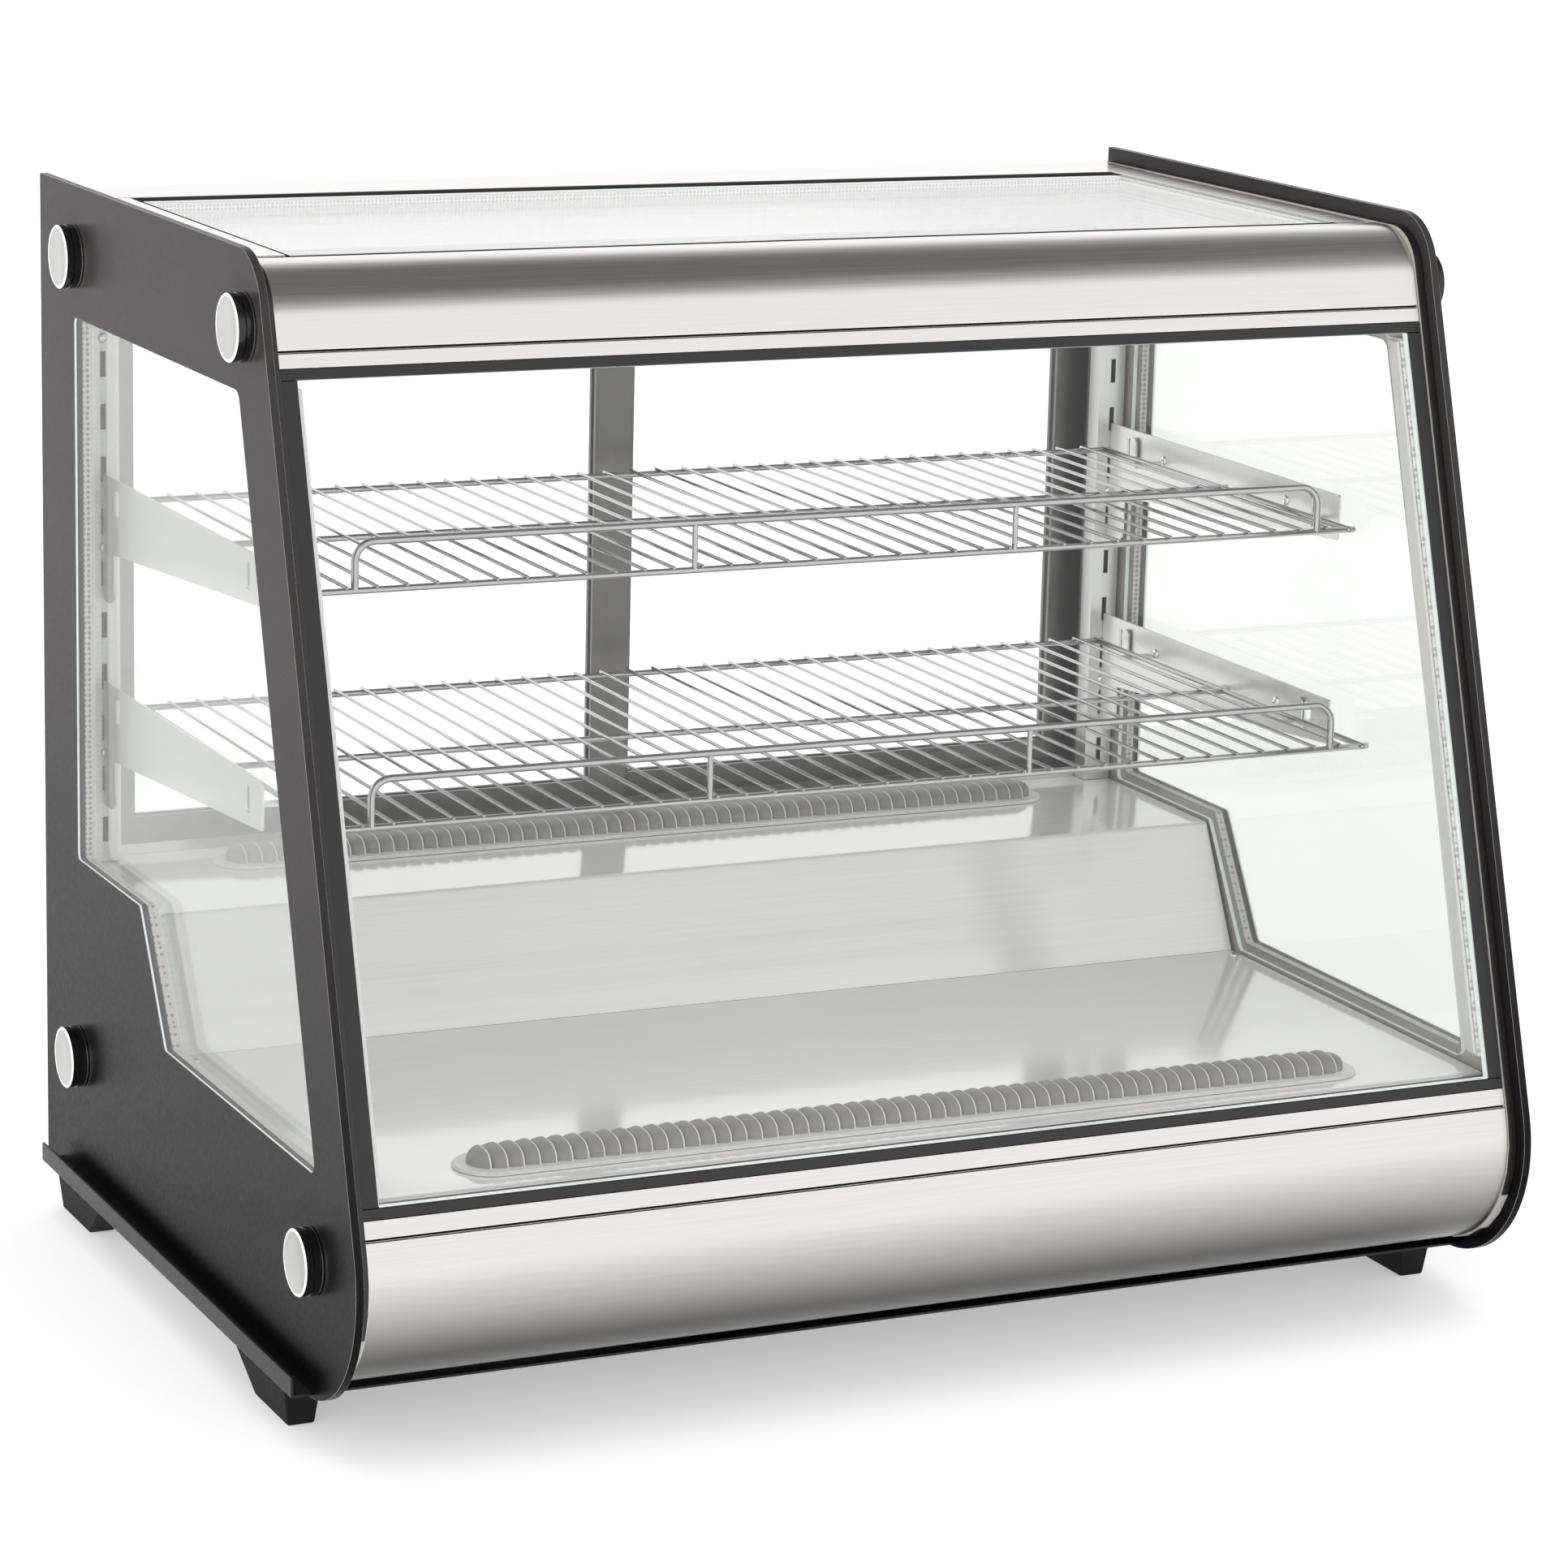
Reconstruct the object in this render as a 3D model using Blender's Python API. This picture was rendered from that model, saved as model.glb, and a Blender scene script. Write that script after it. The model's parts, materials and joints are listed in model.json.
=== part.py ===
"""Countertop heated display case with sloped front glass, two wire shelves and sliding rear doors.

Metres, +Z up, X across the case, front towards -Y. The origin is the middle of the footprint
on the surface that the feet stand on. Positions along the depth are measured from the rear
edge of the side glass, forwards, and turned into Y by back().
"""

import math

import bmesh
import bpy
from mathutils import Matrix, Vector

# --- driving dimensions -------------------------------------------------------------------
HEIGHT = 0.686
DEPTH = 0.5913
GLASS_WIDTH = 0.785
GAP = 0.0003
FRONT_SLOPE = 0.3108
FRONT_FOOT = 0.6307
TOP_RADIUS = 0.039
BELLY_RADIUS = 0.083
PANEL_BOTTOM = 0.031
BODY_INSET = 0.0105
FRAME_INSET = 0.0090
FASCIA_SHEET = 0.0018

# --- layers across the width, from outside in ------------------------------------------------
SIDE_OUT = GLASS_WIDTH / 2
SIDE_GLASS = 0.005
FRAME_OUT = SIDE_OUT - SIDE_GLASS - GAP
FRAME_THICK = 0.0057
BODY_HALF = FRAME_OUT - FRAME_THICK - GAP
PANE_THICK = 0.003
PANE_LAP = 0.006
ROOM_HALF = BODY_HALF - PANE_THICK - GAP

# --- levels ---------------------------------------------------------------------------------
TRAY_BOTTOM = 0.0335
SHEET = 0.0015
TRAY_SHEET = 0.002
LIP_TOP = 0.0458
SKIRT_BOTTOM = 0.0363
FRONT_DECK = 0.160
REAR_DECK = 0.241
STRIP_LOW, STRIP_HIGH = 0.1445, 0.1545
GLASS_LOW, GLASS_HIGH = 0.1612, 0.6135
FASCIA_LOW, GROOVE_HIGH = 0.6203, 0.6303
ROOF = 0.6765
ROOF_UNIT = 0.0098
HEADER_LOW = 0.640
SILL_LOW, SILL_HIGH = 0.2050, 0.2480

# --- the front ------------------------------------------------------------------------------
FRONT_GLASS = 0.0052
TRIM_DEEP = 0.010
STILE_INNER = 0.3712
LED_FACE, DIFFUSER = 0.3687, 0.0022

# --- depths, from the rear edge of the side glass -----------------------------------------------
TRAY_REAR, TRAY_FRONT = 0.027, 0.518
ROOF_REAR, ROOF_FRONT = 0.0665, 0.3705
COVER_FACE = 0.0165
RAIL_REAR = 0.004
DOOR_THICK = 0.012
REAR_TRACK, FRONT_TRACK = 0.0085, 0.0230
FRAME_FRONT = 0.0397
STANDARD_FACE = 0.0545
STEP_TOP, STEP_FOOT = 0.195, 0.237
DECK_FRONT = 0.553
VENT_REAR_AT, VENT_FRONT_AT = 0.084, 0.5146

# --- shelves -----------------------------------------------------------------------------------
SLOT_PITCH = 0.034
FIRST_SLOT = 0.2632
SLOT_COUNT = 11
SLOT_HIGH, SLOT_WIDE = 0.0164, 0.0034
SLOT_X = 0.3685
POST_INNER = 0.3578
BRACKET_TOP = 0.4985
BRACKET_FRONT = 0.364
SHELF_STEP = 4 * SLOT_PITCH
RAIL_Z = 0.484
RAIL_HALF = 0.3555
SIDE_ROD_X = 0.350
SHELF_REAR = 0.078
UPPER_FRONT, LOWER_FRONT = 0.4050, 0.4345
WIRE_COUNT = 36
WIRE_PITCH = 0.0190
WIRE_RADIUS = 0.0011
ROD_RADIUS = 0.0020
GUARD_RADIUS = 0.0023
GUARD_HALF = 0.3265
GUARD_RISE = 0.029

# --- doors ---------------------------------------------------------------------------------------
DOOR_OUT = 0.3775
MEETING_LAP = 0.0097
DOOR_STILE, MEETING_STILE = 0.0355, 0.0270
DOOR_RAIL = 0.022
DOOR_LOW, DOOR_HIGH = 0.2430, 0.6480
DOOR_PANE = 0.004
DOOR_LAP = 0.004
PULL_HEIGHTS = (0.40, 0.49)
TRACK_PLAY = 0.0008

# --- vents, fan and controls ----------------------------------------------------------------------
VENT_HALF, VENT_HALF_WIDTH = 0.304, 0.023
VENT_FLANGE, VENT_RISE = 0.006, 0.0122
VENT_SLOTS, VENT_PITCH = 56, 0.0102
FAN_AT, FAN_Z, FAN_BLADES = 0.218, 0.098, 5
KNOB_X, SWITCH_XS, DISPLAY_X, INLET_X = 0.150, (0.225, 0.262), 0.060, -0.330
CONTROL_Z, INLET_Z = 0.165, 0.075
ROCKER_PIN, ROCKER_TRAVEL = 0.004, 12

# --- stand-off caps ----------------------------------------------------------------------------
CAP_RADIUS = 0.0202
CAP_THICK = 0.0111
CAP_EDGE = 0.0006
STUD_RADIUS = 0.005
STUD_HOLE = 0.0055
CAP_PLACES = (("rear_top", 0.073, 0.6413), ("front_top", 0.4002, 0.6411),
              ("rear_low", 0.073, 0.1168), ("front_low", 0.5198, 0.1165))


def back(distance):
    """Y of a point this far forward of the side glass's rear edge."""
    return DEPTH / 2 - distance


def slot_at(index):
    """Height of the middle of a standard's slot, counted from the lowest."""
    return FIRST_SLOT + SLOT_PITCH * index


def front_at(z, inset=0.0):
    """Distance forward of the sloped front line at this height."""
    return FRONT_FOOT - inset - FRONT_SLOPE * z


# --- materials ------------------------------------------------------------------------------------
PALETTE = {
    "black_sheet": ((0.020, 0.019, 0.019), 0.35, 0.6),
    "black_frame": ((0.030, 0.027, 0.026), 0.30, 0.0),
    "black_plastic": ((0.015, 0.015, 0.015), 0.45, 0.0),
    "rubber": ((0.012, 0.012, 0.012), 0.70, 0.0),
    "brushed_steel": ((0.62, 0.60, 0.58), 0.28, 1.0),
    "deck_steel": ((0.78, 0.78, 0.77), 0.30, 1.0),
    "chrome": ((0.80, 0.80, 0.80), 0.12, 1.0),
    "aluminium": ((0.72, 0.72, 0.71), 0.32, 1.0),
    "dark_anodised": ((0.12, 0.115, 0.11), 0.35, 0.9),
    "clear_glass": ((0.90, 0.94, 0.93), 0.05, 0.0),
    "diffuser": ((0.93, 0.93, 0.90), 0.50, 0.0),
    "vent_plastic": ((0.62, 0.61, 0.59), 0.40, 0.0),
    "red_rocker": ((0.60, 0.04, 0.03), 0.35, 0.0),
    "green_rocker": ((0.03, 0.30, 0.07), 0.35, 0.0),
    "heater_sheath": ((0.30, 0.27, 0.25), 0.45, 0.9),
}


def material(name):
    found = bpy.data.materials.get(name)
    if found:
        return found
    colour, roughness, metallic = PALETTE[name]
    made = bpy.data.materials.new(name)
    made.use_nodes = True
    shader = made.node_tree.nodes["Principled BSDF"]
    shader.inputs["Base Color"].default_value = (*colour, 1.0)
    shader.inputs["Roughness"].default_value = roughness
    shader.inputs["Metallic"].default_value = metallic
    return made


# --- shape helpers -----------------------------------------------------------------------------------
def clear_scene():
    for obj in list(bpy.data.objects):
        bpy.data.objects.remove(obj, do_unlink=True)


def place(name, bm, finish, smooth=False):
    """Turns a bmesh into an object with outward faces."""
    bmesh.ops.recalc_face_normals(bm, faces=bm.faces)
    mesh = bpy.data.meshes.new(name)
    bm.to_mesh(mesh)
    bm.free()
    if smooth:
        mesh.shade_smooth()
        mesh.set_sharp_from_angle(angle=math.radians(40))
    obj = bpy.data.objects.new(name, mesh)
    bpy.context.scene.collection.objects.link(obj)
    mesh.materials.append(material(finish))
    return obj


def helper(name, bm):
    """A cutter or a piece to be joined: it isn't part of the case by itself."""
    obj = place(name, bm, "aluminium")
    obj.hide_render = True
    obj.display_type = "WIRE"
    return obj


def pivot(obj, x, distance, z):
    """Moves the object's origin to a point on its joint's axis, and leaves its shape where it is."""
    point = Vector((x, back(distance), z))
    obj.data.transform(Matrix.Translation(-point))
    obj.location = point


def boolean(obj, other, operation):
    step = obj.modifiers.new(f"{operation.lower()}_{other.name}", "BOOLEAN")
    step.operation = operation
    step.object = other
    return step


def rounded(corners, radii, steps=6):
    """The outline through these corners, with an arc of each radius in its corner."""
    points = []
    count = len(corners)
    for index, (corner, radius) in enumerate(zip(corners, radii)):
        here = Vector(corner)
        if radius == 0:
            points.append(here)
            continue
        before = (Vector(corners[index - 1]) - here).normalized()
        after = (Vector(corners[(index + 1) % count]) - here).normalized()
        half = before.angle(after) / 2
        reach = radius / math.tan(half)
        centre = here + (before + after).normalized() * (radius / math.sin(half))
        start = here + before * reach - centre
        sweep = math.pi - 2 * half
        turn = 1 if before.x * after.y - before.y * after.x < 0 else -1
        for step in range(steps + 1):
            angle = turn * sweep * step / steps
            cos, sin = math.cos(angle), math.sin(angle)
            points.append(centre + Vector((start.x * cos - start.y * sin, start.x * sin + start.y * cos)))
    return [(point.x, point.y) for point in points]


def across(outline, low, high):
    """A prism along X from an outline of (distance from the rear, height) points."""
    bm = bmesh.new()
    face = bm.faces.new([bm.verts.new((low, back(d), z)) for d, z in outline])
    pushed = bmesh.ops.extrude_face_region(bm, geom=[face])
    moved = [item for item in pushed["geom"] if isinstance(item, bmesh.types.BMVert)]
    bmesh.ops.translate(bm, verts=moved, vec=(high - low, 0, 0))
    return bm


def upward(outline, low, high):
    """A prism along Z from an outline of (x, distance from the rear) points."""
    bm = bmesh.new()
    face = bm.faces.new([bm.verts.new((x, back(d), low)) for x, d in outline])
    pushed = bmesh.ops.extrude_face_region(bm, geom=[face])
    moved = [item for item in pushed["geom"] if isinstance(item, bmesh.types.BMVert)]
    bmesh.ops.translate(bm, verts=moved, vec=(0, 0, high - low))
    return bm


def box(x, d, z, bm=None):
    """A block from (low, high) pairs: x, distance from the rear, and height."""
    bm = bm or bmesh.new()
    size = (x[1] - x[0], d[1] - d[0], z[1] - z[0])
    middle = ((x[0] + x[1]) / 2, back((d[0] + d[1]) / 2), (z[0] + z[1]) / 2)
    bmesh.ops.create_cube(bm, size=1, matrix=Matrix.Translation(middle) @ Matrix.Diagonal((*size, 1)))
    return bm


def boxes(blocks):
    bm = bmesh.new()
    for block in blocks:
        box(*block, bm=bm)
    return bm


def lathe(profile, segments, matrix, bm=None):
    """A solid turned round Z from (radius, height) points, both ends on the axis, then placed."""
    bm = bm or bmesh.new()
    rings = []
    for radius, height in profile:
        if radius == 0:
            rings.append([bm.verts.new(matrix @ Vector((0, 0, height)))])
            continue
        angles = [2 * math.pi * step / segments for step in range(segments)]
        rings.append([bm.verts.new(matrix @ Vector((radius * math.cos(a), radius * math.sin(a), height)))
                      for a in angles])
    for lower, upper in zip(rings, rings[1:]):
        for step in range(segments):
            after = (step + 1) % segments
            if len(lower) == 1:
                bm.faces.new((lower[0], upper[step], upper[after]))
            elif len(upper) == 1:
                bm.faces.new((lower[step], lower[after], upper[0]))
            else:
                bm.faces.new((lower[step], lower[after], upper[after], upper[step]))
    return bm


def cylinder(radius, low, high, segments, matrix, bm=None):
    return lathe([(0, low), (radius, low), (radius, high), (0, high)], segments, matrix, bm)


def tube(points, radius, sides, bm=None):
    """A round bar along a path of (x, distance from the rear, height) points."""
    bm = bm or bmesh.new()
    path = [Vector((x, back(d), z)) for x, d, z in points]
    heading = (path[1] - path[0]).normalized()
    side = heading.orthogonal().normalized()
    rings = []
    for index, point in enumerate(path):
        before = path[max(index - 1, 0)]
        after = path[min(index + 1, len(path) - 1)]
        forward = (after - before).normalized()
        side = (side - forward * side.dot(forward)).normalized()
        other = forward.cross(side)
        stretch = 1.0
        if 0 < index < len(path) - 1:
            stretch = 1 / max(math.cos((point - before).angle(after - point) / 2), 0.5)
        ring = []
        for step in range(sides):
            angle = 2 * math.pi * (step + 0.5) / sides
            ring.append(bm.verts.new(point + radius * stretch ** 0.5
                                     * (side * math.cos(angle) + other * math.sin(angle))))
        rings.append(ring)
    for first, second in zip(rings, rings[1:]):
        for step in range(sides):
            after = (step + 1) % sides
            bm.faces.new((first[step], first[after], second[after], second[step]))
    bm.faces.new(rings[0])
    bm.faces.new(rings[-1])
    return bm


def stadium(half_length, half_width, centre, steps=8):
    """A slot shape with round ends along X, as (x, distance from the rear) points."""
    points = []
    for end in (1, -1):
        for step in range(steps + 1):
            angle = math.pi * step / steps - math.pi / 2
            if end < 0:
                angle += math.pi
            points.append((end * (half_length - half_width) + half_width * math.cos(angle),
                           centre + half_width * math.sin(angle)))
    return points


def span(side, inner, outer):
    """The (low, high) X range between two distances from the middle, on the left (-1) or right (1)."""
    return (side * inner, side * outer) if side > 0 else (side * outer, side * inner)


# --- outlines shared by several pieces -----------------------------------------------------------------
def case_outline(inset, steps=8):
    """The case seen from the side, inset from the edge of the side glass."""
    top, bottom = HEIGHT - inset, PANEL_BOTTOM + inset
    corners = [(inset, bottom), (inset, top), (front_at(top, inset), top), (front_at(bottom, inset), bottom)]
    return rounded(corners, [0, 0, TOP_RADIUS - inset, BELLY_RADIUS - inset], steps)


def window_outline(grow=0.0):
    """The clear window in the side glass, which follows the step of the decks."""
    low, step_level, top, rear = 0.1685, 0.2494, 0.6025, 0.0716
    corners = [(rear - grow, step_level - grow), (rear - grow, top + grow),
               (front_at(top, 0.055 - grow), top + grow), (front_at(low, 0.055 - grow), low - grow),
               (0.2495 - grow / 2, low - grow), (0.2001 - grow / 2, step_level - grow)]
    return rounded(corners, [0.004, 0.004, 0.008, 0.006, 0.004, 0.004], 3)


# --- base ---------------------------------------------------------------------------------------------
def make_tray():
    lip_outer = SIDE_OUT + 0.0125
    bm = boxes([((-lip_outer, lip_outer), (TRAY_REAR, TRAY_FRONT), (TRAY_BOTTOM, TRAY_BOTTOM + TRAY_SHEET))])
    tray = place("base_tray", bm, "black_sheet")
    lips = boxes([(span(side, lip_outer - TRAY_SHEET, lip_outer), (TRAY_REAR, TRAY_FRONT),
                   (TRAY_BOTTOM, LIP_TOP)) for side in (-1, 1)])
    boolean(tray, helper("tray_lips", lips), "UNION")


def make_foot(name, side, tread, collar):
    """A rubber block, narrower on the floor (tread) than under the tray (collar)."""
    bm = bmesh.new()
    for inner, outer, ends, z in ((0.375, 0.392, tread, 0.0), (0.371, 0.396, collar, TRAY_BOTTOM - GAP)):
        for x in (side * inner, side * outer):
            for d in ends:
                bm.verts.new((x, back(d), z))
    bmesh.ops.convex_hull(bm, input=bm.verts)
    place(name, bm, "rubber")


def make_feet():
    for side, word in ((-1, "left"), (1, "right")):
        make_foot(f"foot_front_{word}", side, (0.418, 0.476), (0.376, 0.480))
        make_foot(f"foot_rear_{word}", side, (0.031, 0.089), (0.028, 0.131))


# --- sides ---------------------------------------------------------------------------------------------
def sideways(side, d, z):
    """Turns a lathe's axis to point out of this side of the case, at this place."""
    return Matrix.Translation((0, back(d), z)) @ Matrix.Rotation(math.radians(90 * side), 4, "Y")


def make_side(side, word):
    glass_x = span(side, SIDE_OUT - SIDE_GLASS, SIDE_OUT)
    glass = place(f"side_glass_{word}", across(case_outline(0.0, 14), *glass_x), "clear_glass")
    notch = box(span(side, SIDE_OUT - 0.02, SIDE_OUT + 0.02), (-0.02, TRAY_FRONT), (0, SKIRT_BOTTOM))
    boolean(glass, helper(f"glass_notch_{word}", notch), "DIFFERENCE")
    holes = bmesh.new()
    for _, d, z in CAP_PLACES:
        cylinder(STUD_HOLE, SIDE_OUT - 0.02, SIDE_OUT + 0.02, 16, sideways(side, d, z), holes)
    boolean(glass, helper(f"glass_holes_{word}", holes), "DIFFERENCE")

    frame_x = span(side, BODY_HALF + GAP, FRAME_OUT)
    frame = place(f"side_frame_{word}", across(case_outline(FRAME_INSET), *frame_x), "black_frame")
    opening = across(window_outline(0.0012), *span(side, BODY_HALF - 0.01, FRAME_OUT + 0.01))
    boolean(frame, helper(f"frame_opening_{word}", opening), "DIFFERENCE")

    pane_x = span(side, BODY_HALF - PANE_THICK, BODY_HALF)
    place(f"side_pane_{word}", across(window_outline(PANE_LAP), *pane_x), "clear_glass")


def make_caps(side, word):
    """Round caps outside the side glass, each turned in one with the stud that passes through it."""
    inner, seat = FRAME_OUT + GAP, SIDE_OUT + GAP
    face = seat + CAP_THICK
    profile = [(0, inner), (STUD_RADIUS, inner), (STUD_RADIUS, seat), (CAP_RADIUS, seat),
               (CAP_RADIUS, face - CAP_EDGE), (CAP_RADIUS - CAP_EDGE, face), (0, face)]
    for corner, d, z in CAP_PLACES:
        place(f"cap_{corner}_{word}", lathe(profile, 24, sideways(side, d, z)), "aluminium", smooth=True)


# --- fascias and front glass -----------------------------------------------------------------------------
def sheet_outline(outer, thick, first, last):
    """A closed strip: the outer line, and inside it a line shifted by the sheet's thickness.

    The inner line's own end points are first and last.
    """
    inner = [first]
    for before, here, after in zip(outer, outer[1:], outer[2:]):
        into = (Vector(here) - Vector(before)).normalized()
        out = (Vector(after) - Vector(here)).normalized()
        normal = Vector((into.y + out.y, -into.x - out.x)).normalized()
        inner.append((here[0] + normal.x * thick, here[1] + normal.y * thick))
    inner.append(last)
    return outer + inner[::-1]


def make_fascia(word, curve, ends, groove_top):
    """A folded sheet between the side frames, with a groove where its flat strip begins."""
    outline = sheet_outline(curve, FASCIA_SHEET, *ends)
    fascia = place(f"{word}_fascia", across(outline, -BODY_HALF, BODY_HALF), "brushed_steel", smooth=True)
    floor_of_groove = front_at(groove_top, BODY_INSET + FASCIA_SHEET / 2)
    groove = box((-0.5, 0.5), (floor_of_groove, 0.7), (groove_top - 0.0013, groove_top))
    boolean(fascia, helper(f"{word}_fascia_groove", groove), "DIFFERENCE")


def make_fascias():
    start = ROOF_FRONT + GAP
    corners = [(start, ROOF), (front_at(ROOF, BODY_INSET), ROOF),
               (front_at(FASCIA_LOW, BODY_INSET), FASCIA_LOW)]
    curve = rounded(corners, [0, TOP_RADIUS - BODY_INSET + 0.003, 0], 10)
    ends = ((start, ROOF - FASCIA_SHEET), (curve[-1][0] - FASCIA_SHEET, FASCIA_LOW))
    make_fascia("top", curve, ends, GROOVE_HIGH)

    low = PANEL_BOTTOM + BODY_INSET
    corners = [(front_at(STRIP_HIGH, BODY_INSET), STRIP_HIGH), (front_at(low, BODY_INSET), low), (0.470, low)]
    curve = rounded(corners, [0, BELLY_RADIUS - BODY_INSET, 0], 16)
    ends = ((curve[0][0] - FASCIA_SHEET, STRIP_HIGH), (0.470, low + FASCIA_SHEET))
    make_fascia("bottom", curve, ends, STRIP_LOW)


def sloped(low, high, deep, x, inset=BODY_INSET):
    """A bar under the sloped front line between two heights, this deep along Y."""
    outline = [(front_at(low, inset), low), (front_at(high, inset), high),
               (front_at(high, inset) - deep, high), (front_at(low, inset) - deep, low)]
    return across(outline, *x)


def make_front():
    full = (-BODY_HALF, BODY_HALF)
    place("top_trim", sloped(GLASS_HIGH + GAP, FASCIA_LOW - GAP, TRIM_DEEP, full), "black_plastic")
    place("bottom_trim", sloped(STRIP_HIGH + GAP, GLASS_LOW - GAP, TRIM_DEEP, full), "black_plastic")
    pane_x = (GAP - STILE_INNER, STILE_INNER - GAP)
    place("front_glass", sloped(GLASS_LOW, GLASS_HIGH, FRONT_GLASS, pane_x), "clear_glass")


def make_stile_and_light(side, word):
    """The glass's edge stile, and behind it a light bar with its diffuser facing into the case."""
    stile_x = span(side, STILE_INNER, BODY_HALF)
    place(f"front_stile_{word}", sloped(GLASS_LOW, GLASS_HIGH, FRONT_GLASS, stile_x), "black_plastic")
    behind = BODY_INSET + FRONT_GLASS + 0.0004
    bar_x = span(side, LED_FACE + GAP, ROOM_HALF)
    bar = sloped(GLASS_LOW + 0.012, GLASS_HIGH - 0.004, 0.0125, bar_x, behind)
    place(f"led_bar_{word}", bar, "aluminium")
    diffuser_x = span(side, LED_FACE - DIFFUSER, LED_FACE)
    diffuser = sloped(GLASS_LOW + 0.014, GLASS_HIGH - 0.006, 0.0105, diffuser_x, behind + 0.001)
    place(f"led_diffuser_{word}", diffuser, "diffuser")


# --- roof and rear frame ------------------------------------------------------------------------------------
def tracks(low, high):
    """Cutters for the two door tracks, between these heights."""
    return boxes([((-0.5, 0.5), (track - TRACK_PLAY, track + DOOR_THICK + TRACK_PLAY), (low, high))
                  for track in (REAR_TRACK, FRONT_TRACK)])


def cut_chamber(rail, name, depths, heights):
    """Hollows a rail along its whole length and leaves its walls."""
    room = box((-0.5, 0.5), (depths[0] + SHEET, depths[1] - SHEET), (heights[0] + SHEET, heights[1] - SHEET))
    boolean(rail, helper(name, room), "DIFFERENCE")


def make_roof_and_rear():
    """The top glass, and the two hollow rails at the rear with a track for each door."""
    full = (-BODY_HALF, BODY_HALF)
    place("top_glass", box(full, (ROOF_REAR, ROOF_FRONT), (ROOF - ROOF_UNIT, ROOF)), "clear_glass")

    header_d = (RAIL_REAR, ROOF_REAR - GAP)
    groove_top = DOOR_HIGH + 0.008
    header = place("top_header", box(full, header_d, (HEADER_LOW, ROOF)), "brushed_steel")
    boolean(header, helper("header_tracks", tracks(HEADER_LOW - 0.01, groove_top)), "DIFFERENCE")
    cut_chamber(header, "header_chamber", header_d, (groove_top, ROOF))
    beside_tracks = (FRONT_TRACK + DOOR_THICK + TRACK_PLAY, header_d[1])
    cut_chamber(header, "header_front_chamber", beside_tracks, (HEADER_LOW, groove_top + 2 * SHEET + 0.001))

    sill_d = (RAIL_REAR, FRAME_FRONT)
    groove_floor = DOOR_LOW - 0.001
    sill = place("rear_sill", box(full, sill_d, (SILL_LOW, SILL_HIGH)), "brushed_steel")
    boolean(sill, helper("sill_tracks", tracks(groove_floor, SILL_HIGH + 0.01)), "DIFFERENCE")
    cut_chamber(sill, "sill_chamber", sill_d, (SILL_LOW, groove_floor))


def make_post(side, word):
    """An upright beside the doors, and the slotted channel in front of it that the brackets hook into."""
    x = span(side, POST_INNER, ROOM_HALF)
    top = HEADER_LOW - GAP
    post_d = (FRONT_TRACK + DOOR_THICK + 0.0012, FRAME_FRONT)
    place(f"rear_post_{word}", box(x, post_d, (SILL_HIGH + GAP, top)), "dark_anodised")
    channel = box(x, (FRAME_FRONT + GAP, STANDARD_FACE), (REAR_DECK + GAP, top))
    standard = place(f"shelf_standard_{word}", channel, "aluminium")
    inside = span(side, POST_INNER + SHEET, ROOM_HALF - SHEET)
    hollow = box(inside, (0.0, STANDARD_FACE - SHEET), (0.0, 1.0))
    boolean(standard, helper(f"standard_hollow_{word}", hollow), "DIFFERENCE")
    slot_x = span(side, SLOT_X - SLOT_WIDE / 2, SLOT_X + SLOT_WIDE / 2)
    slots = boxes([(slot_x, (0.045, 0.07), (slot_at(k) - SLOT_HIGH / 2, slot_at(k) + SLOT_HIGH / 2))
                   for k in range(SLOT_COUNT)])
    boolean(standard, helper(f"standard_slots_{word}", slots), "DIFFERENCE")


def make_door(side, word, track):
    """A sliding door: an aluminium ring, its pane in a groove, and a finger pull cut in outside."""
    x = sorted((side * DOOR_OUT, -side * MEETING_LAP))
    ring = place(f"door_frame_{word}", box(x, (track, track + DOOR_THICK), (DOOR_LOW, DOOR_HIGH)),
                 "dark_anodised")
    stiles = (DOOR_STILE, MEETING_STILE) if side < 0 else (MEETING_STILE, DOOR_STILE)
    clear_x = (x[0] + stiles[0], x[1] - stiles[1])
    clear_z = (DOOR_LOW + DOOR_RAIL, DOOR_HIGH - DOOR_RAIL)
    middle = track + DOOR_THICK / 2

    def pane_block(lap, half):
        return box((clear_x[0] - lap, clear_x[1] + lap), (middle - half, middle + half),
                   (clear_z[0] - lap, clear_z[1] + lap))

    boolean(ring, helper(f"door_opening_{word}", pane_block(0, 0.05)), "DIFFERENCE")
    pocket = pane_block(DOOR_LAP, DOOR_PANE / 2 + GAP)
    boolean(ring, helper(f"door_pocket_{word}", pocket), "DIFFERENCE")
    pull_x = side * (DOOR_OUT - DOOR_STILE / 2)
    pull = box((pull_x - 0.008, pull_x + 0.008), (track - 0.01, track + 0.0035), PULL_HEIGHTS)
    boolean(ring, helper(f"door_pull_{word}", pull), "DIFFERENCE")
    glass = place(f"door_glass_{word}", pane_block(DOOR_LAP - 0.0005, DOOR_PANE / 2), "clear_glass")
    for piece in (ring, glass):
        pivot(piece, sum(x) / 2, middle, DOOR_LOW)


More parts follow.
